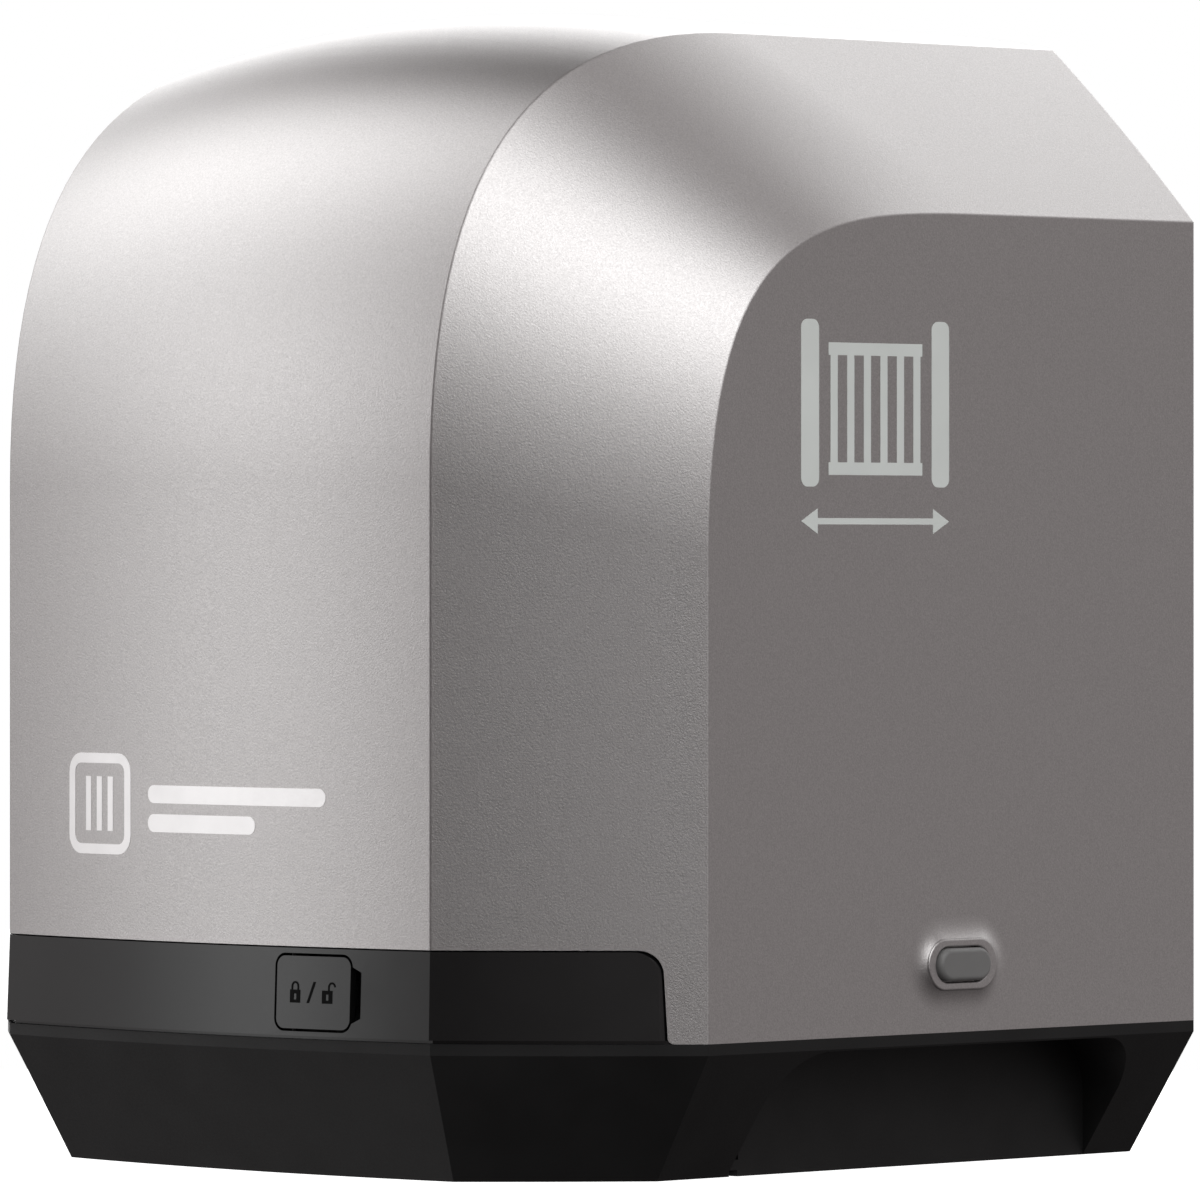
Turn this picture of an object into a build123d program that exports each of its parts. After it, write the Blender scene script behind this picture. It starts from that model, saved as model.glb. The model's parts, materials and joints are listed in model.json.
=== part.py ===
"""Sliding-gate opener: a crowned metal cover over a black base with a worm-gear drive inside.

Frame: +Z up, front towards -Y, output pinion towards +Y. The origin is the centre of the
anchor-slot pattern on the underside of the base. Millimetres.
"""

import os
from math import atan, cos, degrees, pi, radians, sin

from build123d import *

# --- driving dimensions: cover surface --------------------------------------------------------
HALF_W = 129.0  # flat side faces stand at x = +-HALF_W
CREASE_X = 79.0  # sharp creases between the crowned middle and the bevels
FRONT_Y = -115.0  # crease line at the front
BACK_Y = 115.0  # flat back
SIDE_FRONT_Y = -66.7  # front edge of the side faces
TOP_Z = 291.75  # crease line on top
SIDE_TOP_Z = 244.8  # top edge of the side faces
CROWN = 7.2  # rise of the middle above the chord between the creases
BEVEL_CROWN = 1.7  # the same on each bevel
CREASE_ARCH = (176.3, -5.1, 78.1, 75.9)  # arch start z, arch end y, handle up, handle back
SIDE_ARCH = (157.8, 34.1, 86.0, 57.5)
WALL = 2.6  # cover wall
CREASE_SHIFT, SIDE_SHIFT = 0.4, 0.42  # how far edges move along a face as it moves in by 1
BEVEL_SHARE, PLAN_SHARE = 0.72, 0.7  # share of the bevel's crown that shows in each direction
CREST_RISE = 5.0  # extra fullness of the arch in the middle
CUTTER = 400.0  # larger than the product

# --- driving dimensions: base -----------------------------------------------------------------
SEAM_Z = 35.4  # cover's lower rim and the apron's lower edge
APRON_TOP_Z = 58.8
STRIP_H = 2.9  # upright strip above the tapered skirt
APRON_FLARE = 0.8  # the apron leans out by this much at its lower edge
FOOT_CREASE_X = 71.8  # outline of the underside
FOOT_FRONT_Y = -99.9
FOOT_CROWN = 5.5
FOOT_SIDE_X = 106.5
FOOT_SIDE_Y = -62.3
FOOT_BEVEL_CROWN = 0.8
FLOOR_H = 5.0
BASE_WALL = 3.0
LEDGE = 7.0  # width of the rim that carries the gasket
APRON_WALL = 3.0
APRON_TOP_X, APRON_END_X = 121.3, 121.95  # apron's ends on the bevels, at its top and at the seam
APRON_CORNER = (4.5, 6.2)  # half axes, across and up, of its upper corners
SEAM_GAP = 0.4
APRON_STEP_H = 0.9  # shadow step along its lower edge
GASKET_H = 2.4

GRIP_Y = (-37.5, 96.5)  # hand recess along the side
GRIP_TOP_Z = 32.0
GRIP_CORNER = 15.0
GRIP_DRAIN = (8.0, 3.0, 3.2)  # notch at the front lower corner of each recess
GRIP_NICK = (1.2, 3.0, 3.5)

ANCHOR_X = 86.0  # anchor slots
ANCHOR_Y = 60.0
ANCHOR_R = 5.5
ANCHOR_LENGTH = 24.0
CABLE_X, CABLE_Y, CABLE_R = -20.0, -66.0, 12.6
GLAND_BORE_R, GLAND_H = 8.0, 22.0
GLAND_NUT_R, GLAND_NUT_H = 19.0, 6.0

# --- driving dimensions: release flap ---------------------------------------------------------
FLAP_X = (30.0, 54.4)
FLAP_Z = (38.1, 56.4)
FLAP_GAP = 0.7
FLAP_T = 1.8
FLAP_CORNER = 2.6
HINGE_X = 34.2
HINGE_DEPTH = 1.6
PIN_R = 0.75
PIN_INSET = 1.3  # the pin starts this far above the seam
BARREL_WALL = 0.8
TAB = (0.8, 1.6, 6.0)  # finger tab behind the free edge
NOTCH_X = (55.4, 57.9)
NOTCH_Z = (39.5, 54.3)
NOTCH_SLOPE = 1.6
NOTCH_DEPTH = 1.9

# --- driving dimensions: side button ----------------------------------------------------------
BUTTON_Y = 24.0
BUTTON_Z = 52.8
RIM_LENGTH, RIM_HEIGHT = 25.4, 12.8
RIM_RISE = 2.0
PILL_LENGTH, PILL_HEIGHT = 19.0, 8.4
PILL_RISE = 1.7
PILL_ROUND = 1.2
PUFF_MARGIN, PUFF_TAPER = 5.0, 52  # soft swelling around the rim
BOSS_MARGIN, BOSS_DEPTH = 6.0, 5.0  # thickening behind it
RECESS_GAP, RECESS_DEPTH = 0.9, 1.5
STEM_HOLE_R = 3.3
STEM_R = 3.0
STEM_LENGTH = 12.0  # the stem reaches this far in from the side face
CLIP_R, CLIP_T = 5.6, 1.0
GROOVE_DEPTH, GROOVE_W = 0.6, 1.2

# --- driving dimensions: gear train -----------------------------------------------------------
AXIS_Z = 82.0  # output shaft height
DEDENDUM, ADDENDUM = 1.2, 0.9  # tooth depth below and above the pitch circle, in modules
ROOT_SPREAD, TIP_SPREAD = 0.42, 0.34  # tooth flanks at root and tip, in modules
SHAFT_R = 12.5
FIT = 0.05  # radial running clearance
WORM_MODULE = 2.5
WHEEL_TEETH = 30
WHEEL_FACE = 14.0
WHEEL_TOOTH_SHARE, PINION_TOOTH_SHARE = 0.42, 0.5
WHEEL_HUB_R = 26.0
WEB_HOLES, WEB_PITCH_R, WEB_HOLE_R = 10, 30.2, 2.2
WHEEL_Y = 55.0  # middle of the worm wheel
WORM_R = 10.0  # pitch radius of the single-start worm
WORM_TURNS = 6
WHEEL_R = WORM_MODULE * WHEEL_TEETH / 2
WORM_X = -(WHEEL_R + WORM_R)
PINION_MODULE = 4.0
PINION_TEETH = 16
PINION_COLLAR_R, PINION_COLLAR_H = 20.0, 1.5
PINION_Y = (118.0, 144.0)
PINION_BORE_R = 17.0  # counterbore for the retaining screw and its washer
PINION_BORE_DEPTH = 7.0
SHAFT_END_Y = PINION_Y[1] - PINION_BORE_DEPTH
PINION_KEY_Y = 126.5
PINION_SCREW_R = 3.0
PINION_SCREW_LENGTH = 18.0
KEY_WIDTH, KEY_LENGTH = 6.0, 20.0
CLUTCH_KEY_Y = 34.0
CASE_X = (-72.0, 58.0)
CASE_Y = (20.0, 102.0)
CASE_Z = (FLOOR_H, 130.0)
CASE_WALL = 6.0
CASE_CORNER = 12.0
FIN_Z = (30, 44, 58, 72, 86, 100, 114)
FIN_DEPTH, FIN_T = 8.0, 3.0
FOOT_LUG = (26.0, 18.0, 6.0)
WORM_BEARING_R, WORM_BEARING_H = 15.0, 9.0
WORM_BOSS_R = 19.0
WORM_CLEARANCE = 1.5
COVER_PLATE_Y = 10.0  # front face of the gearbox cover
BEARING_R = 22.0
BEARING_H = 11.0
SEAL_H = 8.0
REAR_BEARING_Y = 78.0
FRONT_BEARING_Y = 11.0
RISER_HALF_W = 44.0
RISER_TOP_Z = 126.0
RISER_T = 6.0
RISER_CORNER = 12.0

# --- driving dimensions: motor ----------------------------------------------------------------
MOTOR_H = 96.0
MOTOR_R = 37.0
WORM_SHAFT_R = 6.0
WORM_Z = (34.0, 126.0)  # lower and upper bearing seats
FLANGE_W, FLANGE_H, FLANGE_CORNER = 78.0, 8.0, 14.0
MOTOR_Z = CASE_Z[1] + FLANGE_H
CAN_WALL, MAGNET_T, AIR_GAP = 2.0, 6.0, 1.0
STACK_Z, STACK_H = 12.0, 60.0  # armature stack above the motor's lower end
SLOTS = 12
COMMUTATOR_R, COMMUTATOR_H = 12.0, 14.0
COLLAR_R, COLLAR_H = 17.0, 6.0
BRUSH = (9.6, 7.0, 9.0)
BELL_H, BELL_ROUND = 5.0, 3.0
DISC_R, DISC_T, DISC_SLOTS = 20.0, 1.2, 24
DISC_BORE_R = 3.0

# --- driving dimensions: release --------------------------------------------------------------
LOCK_X, LOCK_Z = 42.2, 47.2
LOCK_R = 6.0
LOCK_FACE_Y = -116.2
LOCK_BODY_Y = (-114.5, -91.0)
LOCK_BODY = (28.0, 18.0, 2.0)  # width, height, corner
CYLINDER_LENGTH = 22.0
KEYWAY = (1.6, 16.0, 7.5)
ROD_R = 4.0
ROD_END_Y = 62.0
DOG_Y = (30.0, 44.0)
DOG_R = 21.0
DOG_GROOVE = (33.0, 37.0)
DOG_TEETH = 3
DOG_PITCH_R, DOG_PIN_R, DOG_PIN_LENGTH = 18.0, 2.8, 5.0
DOG_POCKET_R = 3.4
GROOVE_IN = 3.0  # depth of the fork's groove
FORK_HUB_R, FORK_HUB_LENGTH = 8.5, 12.0
FORK_RIM = 7.0  # width of the fork beyond the dog

os.makedirs("parts", exist_ok=True)


def save(solid, label):
    """Label one piece and write its STEP file."""
    solid.label = label
    export_step(solid, f"parts/{label}.step")


# --- shared shapes ----------------------------------------------------------------------------
def arch_section(x, front_y, top_z, arch, rise=0.0):
    """Closed profile in the plane at x: upright front, arch, level top."""
    start_z, end_y, up, back = arch
    low_z, rear_y = 20.0, BACK_Y + 15.0
    with BuildSketch(Plane.YZ.offset(x)) as section:
        with BuildLine():
            front = Line((front_y, low_z), (front_y, start_z))
            corner = Bezier(front @ 1, (front_y, start_z + up + rise),
                            (end_y - back - rise, top_z), (end_y, top_z))
            Polyline(corner @ 1, (rear_y, top_z), (rear_y, low_z), front @ 0)
        make_face()
    return section.sketch


def crowned_body(inset):
    """The cover's outer volume, moved inwards by inset, before it is cut to height."""
    crease_x = CREASE_X - CREASE_SHIFT * inset
    side_x = HALF_W - inset
    middle_x = (crease_x + side_x) / 2
    bevel_y = (FRONT_Y + SIDE_FRONT_Y) / 2 - BEVEL_SHARE * BEVEL_CROWN
    bevel_z = (TOP_Z + SIDE_TOP_Z) / 2 + BEVEL_SHARE * BEVEL_CROWN
    half_arch = [(a + b) / 2 for a, b in zip(CREASE_ARCH, SIDE_ARCH)]
    crest = arch_section(0, FRONT_Y - CROWN + inset, TOP_Z + CROWN - inset, CREASE_ARCH, CREST_RISE)
    creases = {
        side: arch_section(side * crease_x, FRONT_Y + inset, TOP_Z - inset, CREASE_ARCH)
        for side in (-1, 1)
    }
    with BuildPart() as body:
        loft([creases[-1], crest, creases[1]])
        for side in (-1, 1):
            middle = arch_section(side * middle_x, bevel_y + inset, bevel_z - inset, half_arch)
            outer = arch_section(side * side_x, SIDE_FRONT_Y + SIDE_SHIFT * inset,
                                 SIDE_TOP_Z - SIDE_SHIFT * inset, SIDE_ARCH)
            loft([creases[side], middle, outer][::side])
    return body.part


def plan_outline(height, inset=0.0, foot=False):
    """Plan outline of the product at a height: crowned front, two bevels, flat sides and back."""
    crease_x, front_y, crown = CREASE_X, FRONT_Y, CROWN
    side_x, side_y, bevel = HALF_W, SIDE_FRONT_Y, BEVEL_CROWN
    if foot:
        crease_x, front_y, crown = FOOT_CREASE_X, FOOT_FRONT_Y, FOOT_CROWN
        side_x, side_y, bevel = FOOT_SIDE_X, FOOT_SIDE_Y, FOOT_BEVEL_CROWN
    crease_x -= CREASE_SHIFT * inset
    front_y += inset
    side_x -= inset
    side_y += SIDE_SHIFT * inset
    back_y = BACK_Y - inset
    bulge = PLAN_SHARE * bevel
    with BuildSketch(Plane.XY.offset(height)) as outline:
        with BuildLine():
            front = ThreePointArc((-crease_x, front_y), (0, front_y - crown), (crease_x, front_y))
            right_mid = ((crease_x + side_x) / 2 + bulge, (front_y + side_y) / 2 - bulge)
            ThreePointArc(front @ 1, right_mid, (side_x, side_y))
            Polyline((side_x, side_y), (side_x, back_y), (-side_x, back_y), (-side_x, side_y))
            ThreePointArc((-side_x, side_y), (-right_mid[0], right_mid[1]), front @ 0)
        make_face()
    return outline.sketch


def front_surface_y(x):
    """Y of the crowned front at x, below the arch."""
    radius = (CREASE_X**2 + CROWN**2) / (2 * CROWN)
    return FRONT_Y - CROWN + radius - (radius**2 - x**2) ** 0.5


def ring(plane, outer, inner, length):
    """A plain ring standing on a plane."""
    with BuildPart() as part:
        with BuildSketch(plane):
            Circle(outer)
            Circle(inner, mode=Mode.SUBTRACT)
        extrude(amount=length)
    return part.part


def along_y(x, y, z):
    """Plane at a point whose normal is +Y."""
    return Plane(origin=(x, y, z), x_dir=(1, 0, 0), z_dir=(0, 1, 0))


def apron_window(grow, top_z):
    """Outline, seen from the front, of the cover's cut-out for the apron."""
    top_x, end_x = APRON_TOP_X + grow, APRON_END_X + grow
    low_z = SEAM_Z - 5.0
    low_x = top_x + (end_x - top_x) * (top_z - low_z) / (APRON_TOP_Z - SEAM_Z)
    across, up = APRON_CORNER
    with BuildSketch(Plane.XZ) as window:
        with BuildLine():
            Polyline((-top_x, top_z - up), (-low_x, low_z), (low_x, low_z), (top_x, top_z - up))
            EllipticalCenterArc((top_x - across, top_z - up), across, up, 0, arc_size=90)
            Line((top_x - across, top_z), (across - top_x, top_z))
            EllipticalCenterArc((across - top_x, top_z - up), across, up, 90, arc_size=90)
        make_face()
    return window.sketch


def stadium_plane(side, x):
    """Plane on a side face at the button, normal outwards."""
    return Plane(origin=(side * x, BUTTON_Y, BUTTON_Z), x_dir=(0, side, 0), z_dir=(side, 0, 0))


# --- cover ------------------------------------------------------------------------------------
def make_cover():
    """Silver shell: bevelled arch, apron cut-out, rear notch for the output, button bosses."""
    outer = crowned_body(0)
    inner = crowned_body(WALL)
    with BuildPart() as rear_limit:
        with Locations((0, BACK_Y - WALL, 0)):
            Box(CUTTER, CUTTER, 2 * CUTTER, align=(Align.CENTER, Align.MAX, Align.CENTER))
    with BuildPart() as cover:
        add(outer)
        with Locations((0, BACK_Y, 0)):
            Box(CUTTER, CUTTER, 2 * CUTTER, align=(Align.CENTER, Align.MAX, Align.CENTER),
                mode=Mode.INTERSECT)
        with Locations((0, 0, SEAM_Z)):
            Box(CUTTER, CUTTER, CUTTER, align=(Align.CENTER, Align.CENTER, Align.MIN),
                mode=Mode.INTERSECT)
        add(inner & rear_limit.part, mode=Mode.SUBTRACT)
        extrude(apron_window(0.0, APRON_TOP_Z), amount=60.0 - SIDE_FRONT_Y, dir=(0, -1, 0),
                mode=Mode.SUBTRACT)
        with BuildSketch(Plane.XZ.offset(-BACK_Y - 1)):
            with Locations((0, (SEAM_Z + RISER_TOP_Z) / 2 - 5)):
                RectangleRounded(2 * (RISER_HALF_W + SEAM_GAP),
                                 RISER_TOP_Z - SEAM_Z + 10 + 2 * SEAM_GAP, RISER_CORNER)
        extrude(amount=RISER_T + 2, mode=Mode.SUBTRACT)
        for side in (-1, 1):
            with BuildSketch(stadium_plane(side, HALF_W - BOSS_DEPTH)):
                SlotOverall(RIM_LENGTH + BOSS_MARGIN, RIM_HEIGHT + BOSS_MARGIN)
            extrude(amount=BOSS_DEPTH - WALL)
            with BuildSketch(stadium_plane(side, HALF_W)):
                SlotOverall(RIM_LENGTH + PUFF_MARGIN, RIM_HEIGHT + PUFF_MARGIN)
            extrude(amount=RIM_RISE, taper=PUFF_TAPER)
            with BuildSketch(stadium_plane(side, HALF_W)):
                SlotOverall(RIM_LENGTH, RIM_HEIGHT)
            extrude(amount=RIM_RISE)
            with BuildSketch(stadium_plane(side, HALF_W - RECESS_DEPTH)):
                SlotOverall(PILL_LENGTH + RECESS_GAP, PILL_HEIGHT + RECESS_GAP)
            extrude(amount=RECESS_DEPTH + 2 * RIM_RISE, mode=Mode.SUBTRACT)
            with BuildSketch(stadium_plane(side, HALF_W - 2 * BOSS_DEPTH)):
                Circle(STEM_HOLE_R)
            extrude(amount=2 * BOSS_DEPTH, mode=Mode.SUBTRACT)
    save(cover.part, "cover")


def make_side_button(side, hand):
    """Pill-shaped push button with its stem, plus return spring and retaining clip."""
    face_x = HALF_W + RIM_RISE + PILL_RISE
    back_x = HALF_W + 0.3
    with BuildPart() as button:
        with BuildSketch(stadium_plane(side, back_x)):
            SlotOverall(PILL_LENGTH, PILL_HEIGHT)
        extrude(amount=face_x - back_x)
        edge = button.edges().group_by(Axis.X)[-1 if side > 0 else 0]
        fillet(edge, PILL_ROUND)
        with BuildSketch(stadium_plane(side, HALF_W - STEM_LENGTH)):
            Circle(STEM_R)
        extrude(amount=STEM_LENGTH + 1.0)
        with BuildSketch(stadium_plane(side, HALF_W - STEM_LENGTH + 1.0)):
            Circle(STEM_R + 1.0)
            Circle(STEM_R - GROOVE_DEPTH, mode=Mode.SUBTRACT)
        extrude(amount=GROOVE_W, mode=Mode.SUBTRACT)
    save(button.part, f"side_button_{hand}")
    clip_x = HALF_W - STEM_LENGTH + 1.0 + (GROOVE_W - CLIP_T) / 2
    clip = ring(stadium_plane(side, clip_x), CLIP_R, STEM_R - GROOVE_DEPTH + 0.1, CLIP_T)
    save(clip, f"button_clip_{hand}")
    pitch, turns, radius, wire_r = 1.5, 2.5, 4.3, 0.45
    spring_x = side * (HALF_W - STEM_LENGTH + 2.7)
    with BuildPart() as spring:
        with BuildLine() as coil:
            Helix(pitch, pitch * turns, radius, center=(spring_x, BUTTON_Y, BUTTON_Z),
                  direction=(side, 0, 0))
        with BuildSketch(Plane(origin=coil.line @ 0, z_dir=coil.line % 0)):
            Circle(wire_r)
        sweep(is_frenet=True)
    save(spring.part, f"button_spring_{hand}")


# --- base -------------------------------------------------------------------------------------
def grip_block(grow):
    """Volume of one hand recess, on the right side, opened out by grow."""
    length = GRIP_Y[1] - GRIP_Y[0] + 2 * grow
    middle_y = (GRIP_Y[0] + GRIP_Y[1]) / 2
    below = 40.0
    with BuildPart() as block:
        with BuildSketch(Plane.YZ.offset(FOOT_SIDE_X - grow)):
            with Locations((middle_y, (GRIP_TOP_Z + grow - below) / 2)):
                RectangleRounded(length, GRIP_TOP_Z + grow + below, GRIP_CORNER)
        extrude(amount=HALF_W)
    return block.part


def make_base():
    """Tapered black tray with hand recesses, gasket rim, anchor slots and cable entry."""
    strip_z = SEAM_Z - STRIP_H
    pocket_z = strip_z - 2.0
    grip = grip_block(0.0)
    grip_wall = grip_block(BASE_WALL)
    with BuildPart() as pocket:
        loft([plan_outline(FLOOR_H, BASE_WALL, foot=True), plan_outline(pocket_z, LEDGE)])
        extrude(plan_outline(pocket_z, LEDGE), amount=STRIP_H + 10)
        for side in (grip_wall, grip_wall.mirror(Plane.YZ)):
            add(side, mode=Mode.SUBTRACT)
    with BuildPart() as base:
        loft([plan_outline(0, foot=True), plan_outline(strip_z)])
        extrude(plan_outline(strip_z), amount=STRIP_H)
        add(pocket.part, mode=Mode.SUBTRACT)
        add(grip, mode=Mode.SUBTRACT)
        add(grip.mirror(Plane.YZ), mode=Mode.SUBTRACT)
        with BuildSketch(Plane.XY):
            with GridLocations(2 * ANCHOR_X, 2 * ANCHOR_Y, 2, 2):
                SlotOverall(ANCHOR_LENGTH, 2 * ANCHOR_R)
            with Locations((CABLE_X, CABLE_Y)):
                Circle(CABLE_R)
        extrude(amount=FLOOR_H, mode=Mode.SUBTRACT)
        for side in (-1, 1):
            with Locations((side * FOOT_SIDE_X, GRIP_Y[0] + 2.5, 0)):
                Box(*GRIP_DRAIN, mode=Mode.SUBTRACT)
            with Locations((side * FOOT_SIDE_X, GRIP_Y[0] + 2.8, 6.0)):
                Box(*GRIP_NICK, mode=Mode.SUBTRACT)
    save(base.part, "base_housing")


def make_gasket():
    """Rubber seal lying on the base rim just inside the cover."""
    with BuildPart() as gasket:
        with BuildSketch(Plane.XY.offset(SEAM_Z)):
            add(plan_outline(0, APRON_WALL + 0.6))
            add(plan_outline(0, LEDGE - 1.0), mode=Mode.SUBTRACT)
            with Locations((0, BACK_Y)):
                Rectangle(2 * RISER_HALF_W + 4, 30, mode=Mode.SUBTRACT)
        extrude(amount=GASKET_H)
    save(gasket.part, "cover_gasket")


def make_rear_riser():
    """Black panel that fills the cover's rear notch and lets the output shaft through."""
    buried = RISER_CORNER  # its lower corners are cut off square at the seam
    with BuildPart() as riser:
        with BuildSketch(along_y(0, BACK_Y - RISER_T, 0)):
            with Locations((0, -(SEAM_Z + RISER_TOP_Z - buried) / 2)):
                RectangleRounded(2 * RISER_HALF_W, RISER_TOP_Z - SEAM_Z + buried, RISER_CORNER)
            with Locations((0, 0)):
                Rectangle(CUTTER, 2 * SEAM_Z, mode=Mode.SUBTRACT)
            with Locations((0, -AXIS_Z)):
                Circle(SHAFT_R + 1.0, mode=Mode.SUBTRACT)
        extrude(amount=RISER_T)
    save(riser.part, "rear_riser")


def make_apron():
    """Satin front panel, leaning out to its lower edge, with the flap's window and finger notch."""
    height = APRON_TOP_Z - SEAM_GAP - SEAM_Z
    lean = degrees(atan(APRON_FLARE / height))
    window = apron_window(-SEAM_GAP, APRON_TOP_Z - SEAM_GAP)
    flap_x, flap_z = sum(FLAP_X) / 2, sum(FLAP_Z) / 2
    flap_w, flap_h = FLAP_X[1] - FLAP_X[0], FLAP_Z[1] - FLAP_Z[0]
    hinge_y = front_surface_y(HINGE_X) + HINGE_DEPTH
    pin_length = height - PIN_INSET - 0.9
    with BuildPart() as apron:
        extrude(plan_outline(SEAM_Z, -APRON_FLARE), amount=height, taper=lean)
        extrude(plan_outline(SEAM_Z, APRON_WALL), amount=height, mode=Mode.SUBTRACT)
        extrude(window, amount=60.0 - SIDE_FRONT_Y, dir=(0, -1, 0), mode=Mode.INTERSECT)
        with BuildSketch(Plane.XY.offset(SEAM_Z)):
            add(plan_outline(0, -5.0))
            add(plan_outline(0, 1.4), mode=Mode.SUBTRACT)
        extrude(amount=APRON_STEP_H, mode=Mode.SUBTRACT)
        with BuildSketch(Plane.XZ.offset(-FRONT_Y - 14)):
            with Locations((flap_x, flap_z)):
                RectangleRounded(flap_w + 2 * FLAP_GAP, flap_h + 2 * FLAP_GAP,
                                 FLAP_CORNER + FLAP_GAP)
        extrude(amount=22, mode=Mode.SUBTRACT)
        with BuildSketch(Plane.XZ.offset(-front_surface_y(NOTCH_X[1]) - NOTCH_DEPTH)):
            with BuildLine():
                Polyline((NOTCH_X[0] - 1, NOTCH_Z[0]), (NOTCH_X[1], NOTCH_Z[0] + NOTCH_SLOPE),
                         (NOTCH_X[1], NOTCH_Z[1] - NOTCH_SLOPE), (NOTCH_X[0] - 1, NOTCH_Z[1]),
                         close=True)
            make_face()
        extrude(amount=8, mode=Mode.SUBTRACT)
        with Locations((HINGE_X, hinge_y, SEAM_Z + PIN_INSET)):
            Cylinder(PIN_R, pin_length, align=(Align.CENTER, Align.CENTER, Align.MIN),
                     mode=Mode.SUBTRACT)
    save(apron.part, "front_apron")
    with BuildPart() as pin:
        with Locations((HINGE_X, hinge_y, SEAM_Z + PIN_INSET)):
            Cylinder(PIN_R, pin_length, align=(Align.CENTER, Align.CENTER, Align.MIN))
    save(pin.part, "flap_pin")


def make_flap():
    """Curved key flap with its hinge barrel and finger tab."""
    height = APRON_TOP_Z - SEAM_GAP - SEAM_Z
    lean = degrees(atan(APRON_FLARE / height))
    flap_x, flap_z = sum(FLAP_X) / 2, sum(FLAP_Z) / 2
    flap_w, flap_h = FLAP_X[1] - FLAP_X[0], FLAP_Z[1] - FLAP_Z[0]
    hinge_y = front_surface_y(HINGE_X) + HINGE_DEPTH
    face = Plane.XZ.offset(-FRONT_Y - 14)
    with BuildPart() as flap:
        extrude(plan_outline(SEAM_Z, -APRON_FLARE), amount=height, taper=lean)
        extrude(plan_outline(SEAM_Z, FLAP_T - APRON_FLARE), amount=height, taper=lean,
                mode=Mode.SUBTRACT)
        with BuildSketch(face):
            with Locations((flap_x, flap_z)):
                RectangleRounded(flap_w, flap_h, FLAP_CORNER)
        extrude(amount=26, mode=Mode.INTERSECT)
        with Locations((HINGE_X, hinge_y, flap_z)):
            Cylinder(PIN_R + BARREL_WALL, flap_h - 2 * FLAP_CORNER)
            Cylinder(PIN_R + FIT, flap_h + 4, mode=Mode.SUBTRACT)
        with Locations((FLAP_X[1] - 0.6, front_surface_y(FLAP_X[1]) + FLAP_T + 0.4, flap_z)):
            Box(*TAB)
    save(flap.part, "release_flap")


# --- gear train -------------------------------------------------------------------------------
def tooth_section(plane, module, teeth, width_share, turn):
    """Gear outline of straight-sided teeth on a plane, turned by an angle in degrees."""
    pitch_r = module * teeth / 2
    root_r, tip_r = pitch_r - DEDENDUM * module, pitch_r + ADDENDUM * module
    step = 2 * pi / teeth
    root_half = 0.5 * width_share * step + ROOT_SPREAD * module / root_r
    tip_half = 0.5 * width_share * step - TIP_SPREAD * module / tip_r
    points = []
    for tooth in range(teeth):
        middle = step * tooth + radians(turn)
        points += [(root_r, middle - root_half), (tip_r, middle - tip_half),
                   (tip_r, middle + tip_half), (root_r, middle + root_half)]
    with BuildSketch(plane) as outline:
        with BuildLine():
            Polyline(*[(r * cos(a), r * sin(a)) for r, a in points], close=True)
        make_face()
    return outline.sketch


def make_worm_wheel():
    """Bronze helical wheel, free on the shaft, with pockets for the dog clutch."""
    lead_angle = WORM_MODULE / (2 * WORM_R)
    twist = degrees(WHEEL_FACE / 2 * lead_angle / WHEEL_R)
    mesh_turn = 180.0 + 180.0 / WHEEL_TEETH
    with BuildPart() as wheel:
        loft([
            tooth_section(along_y(0, WHEEL_Y - WHEEL_FACE / 2, AXIS_Z), WORM_MODULE, WHEEL_TEETH,
                          WHEEL_TOOTH_SHARE, mesh_turn - twist),
            tooth_section(along_y(0, WHEEL_Y + WHEEL_FACE / 2, AXIS_Z), WORM_MODULE, WHEEL_TEETH,
                          WHEEL_TOOTH_SHARE, mesh_turn + twist),
        ], ruled=True)
        with BuildSketch(along_y(0, WHEEL_Y - WHEEL_FACE / 2 - 3, AXIS_Z)):
            Circle(WHEEL_HUB_R)
        extrude(amount=WHEEL_FACE + 8)
        with BuildSketch(along_y(0, WHEEL_Y - WHEEL_FACE, AXIS_Z)):
            Circle(SHAFT_R + FIT)
        extrude(amount=40, mode=Mode.SUBTRACT)
        with BuildSketch(along_y(0, WHEEL_Y - WHEEL_FACE, AXIS_Z)):
            with PolarLocations(DOG_PITCH_R, DOG_TEETH):
                Circle(DOG_POCKET_R)
        extrude(amount=DOG_Y[1] + 6.0 - (WHEEL_Y - WHEEL_FACE), mode=Mode.SUBTRACT)
        with BuildSketch(along_y(0, WHEEL_Y - WHEEL_FACE / 2, AXIS_Z)):
            with PolarLocations(WEB_PITCH_R, WEB_HOLES):
                Circle(WEB_HOLE_R)
        extrude(amount=WHEEL_FACE, mode=Mode.SUBTRACT)
    save(wheel.part, "worm_wheel")


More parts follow.
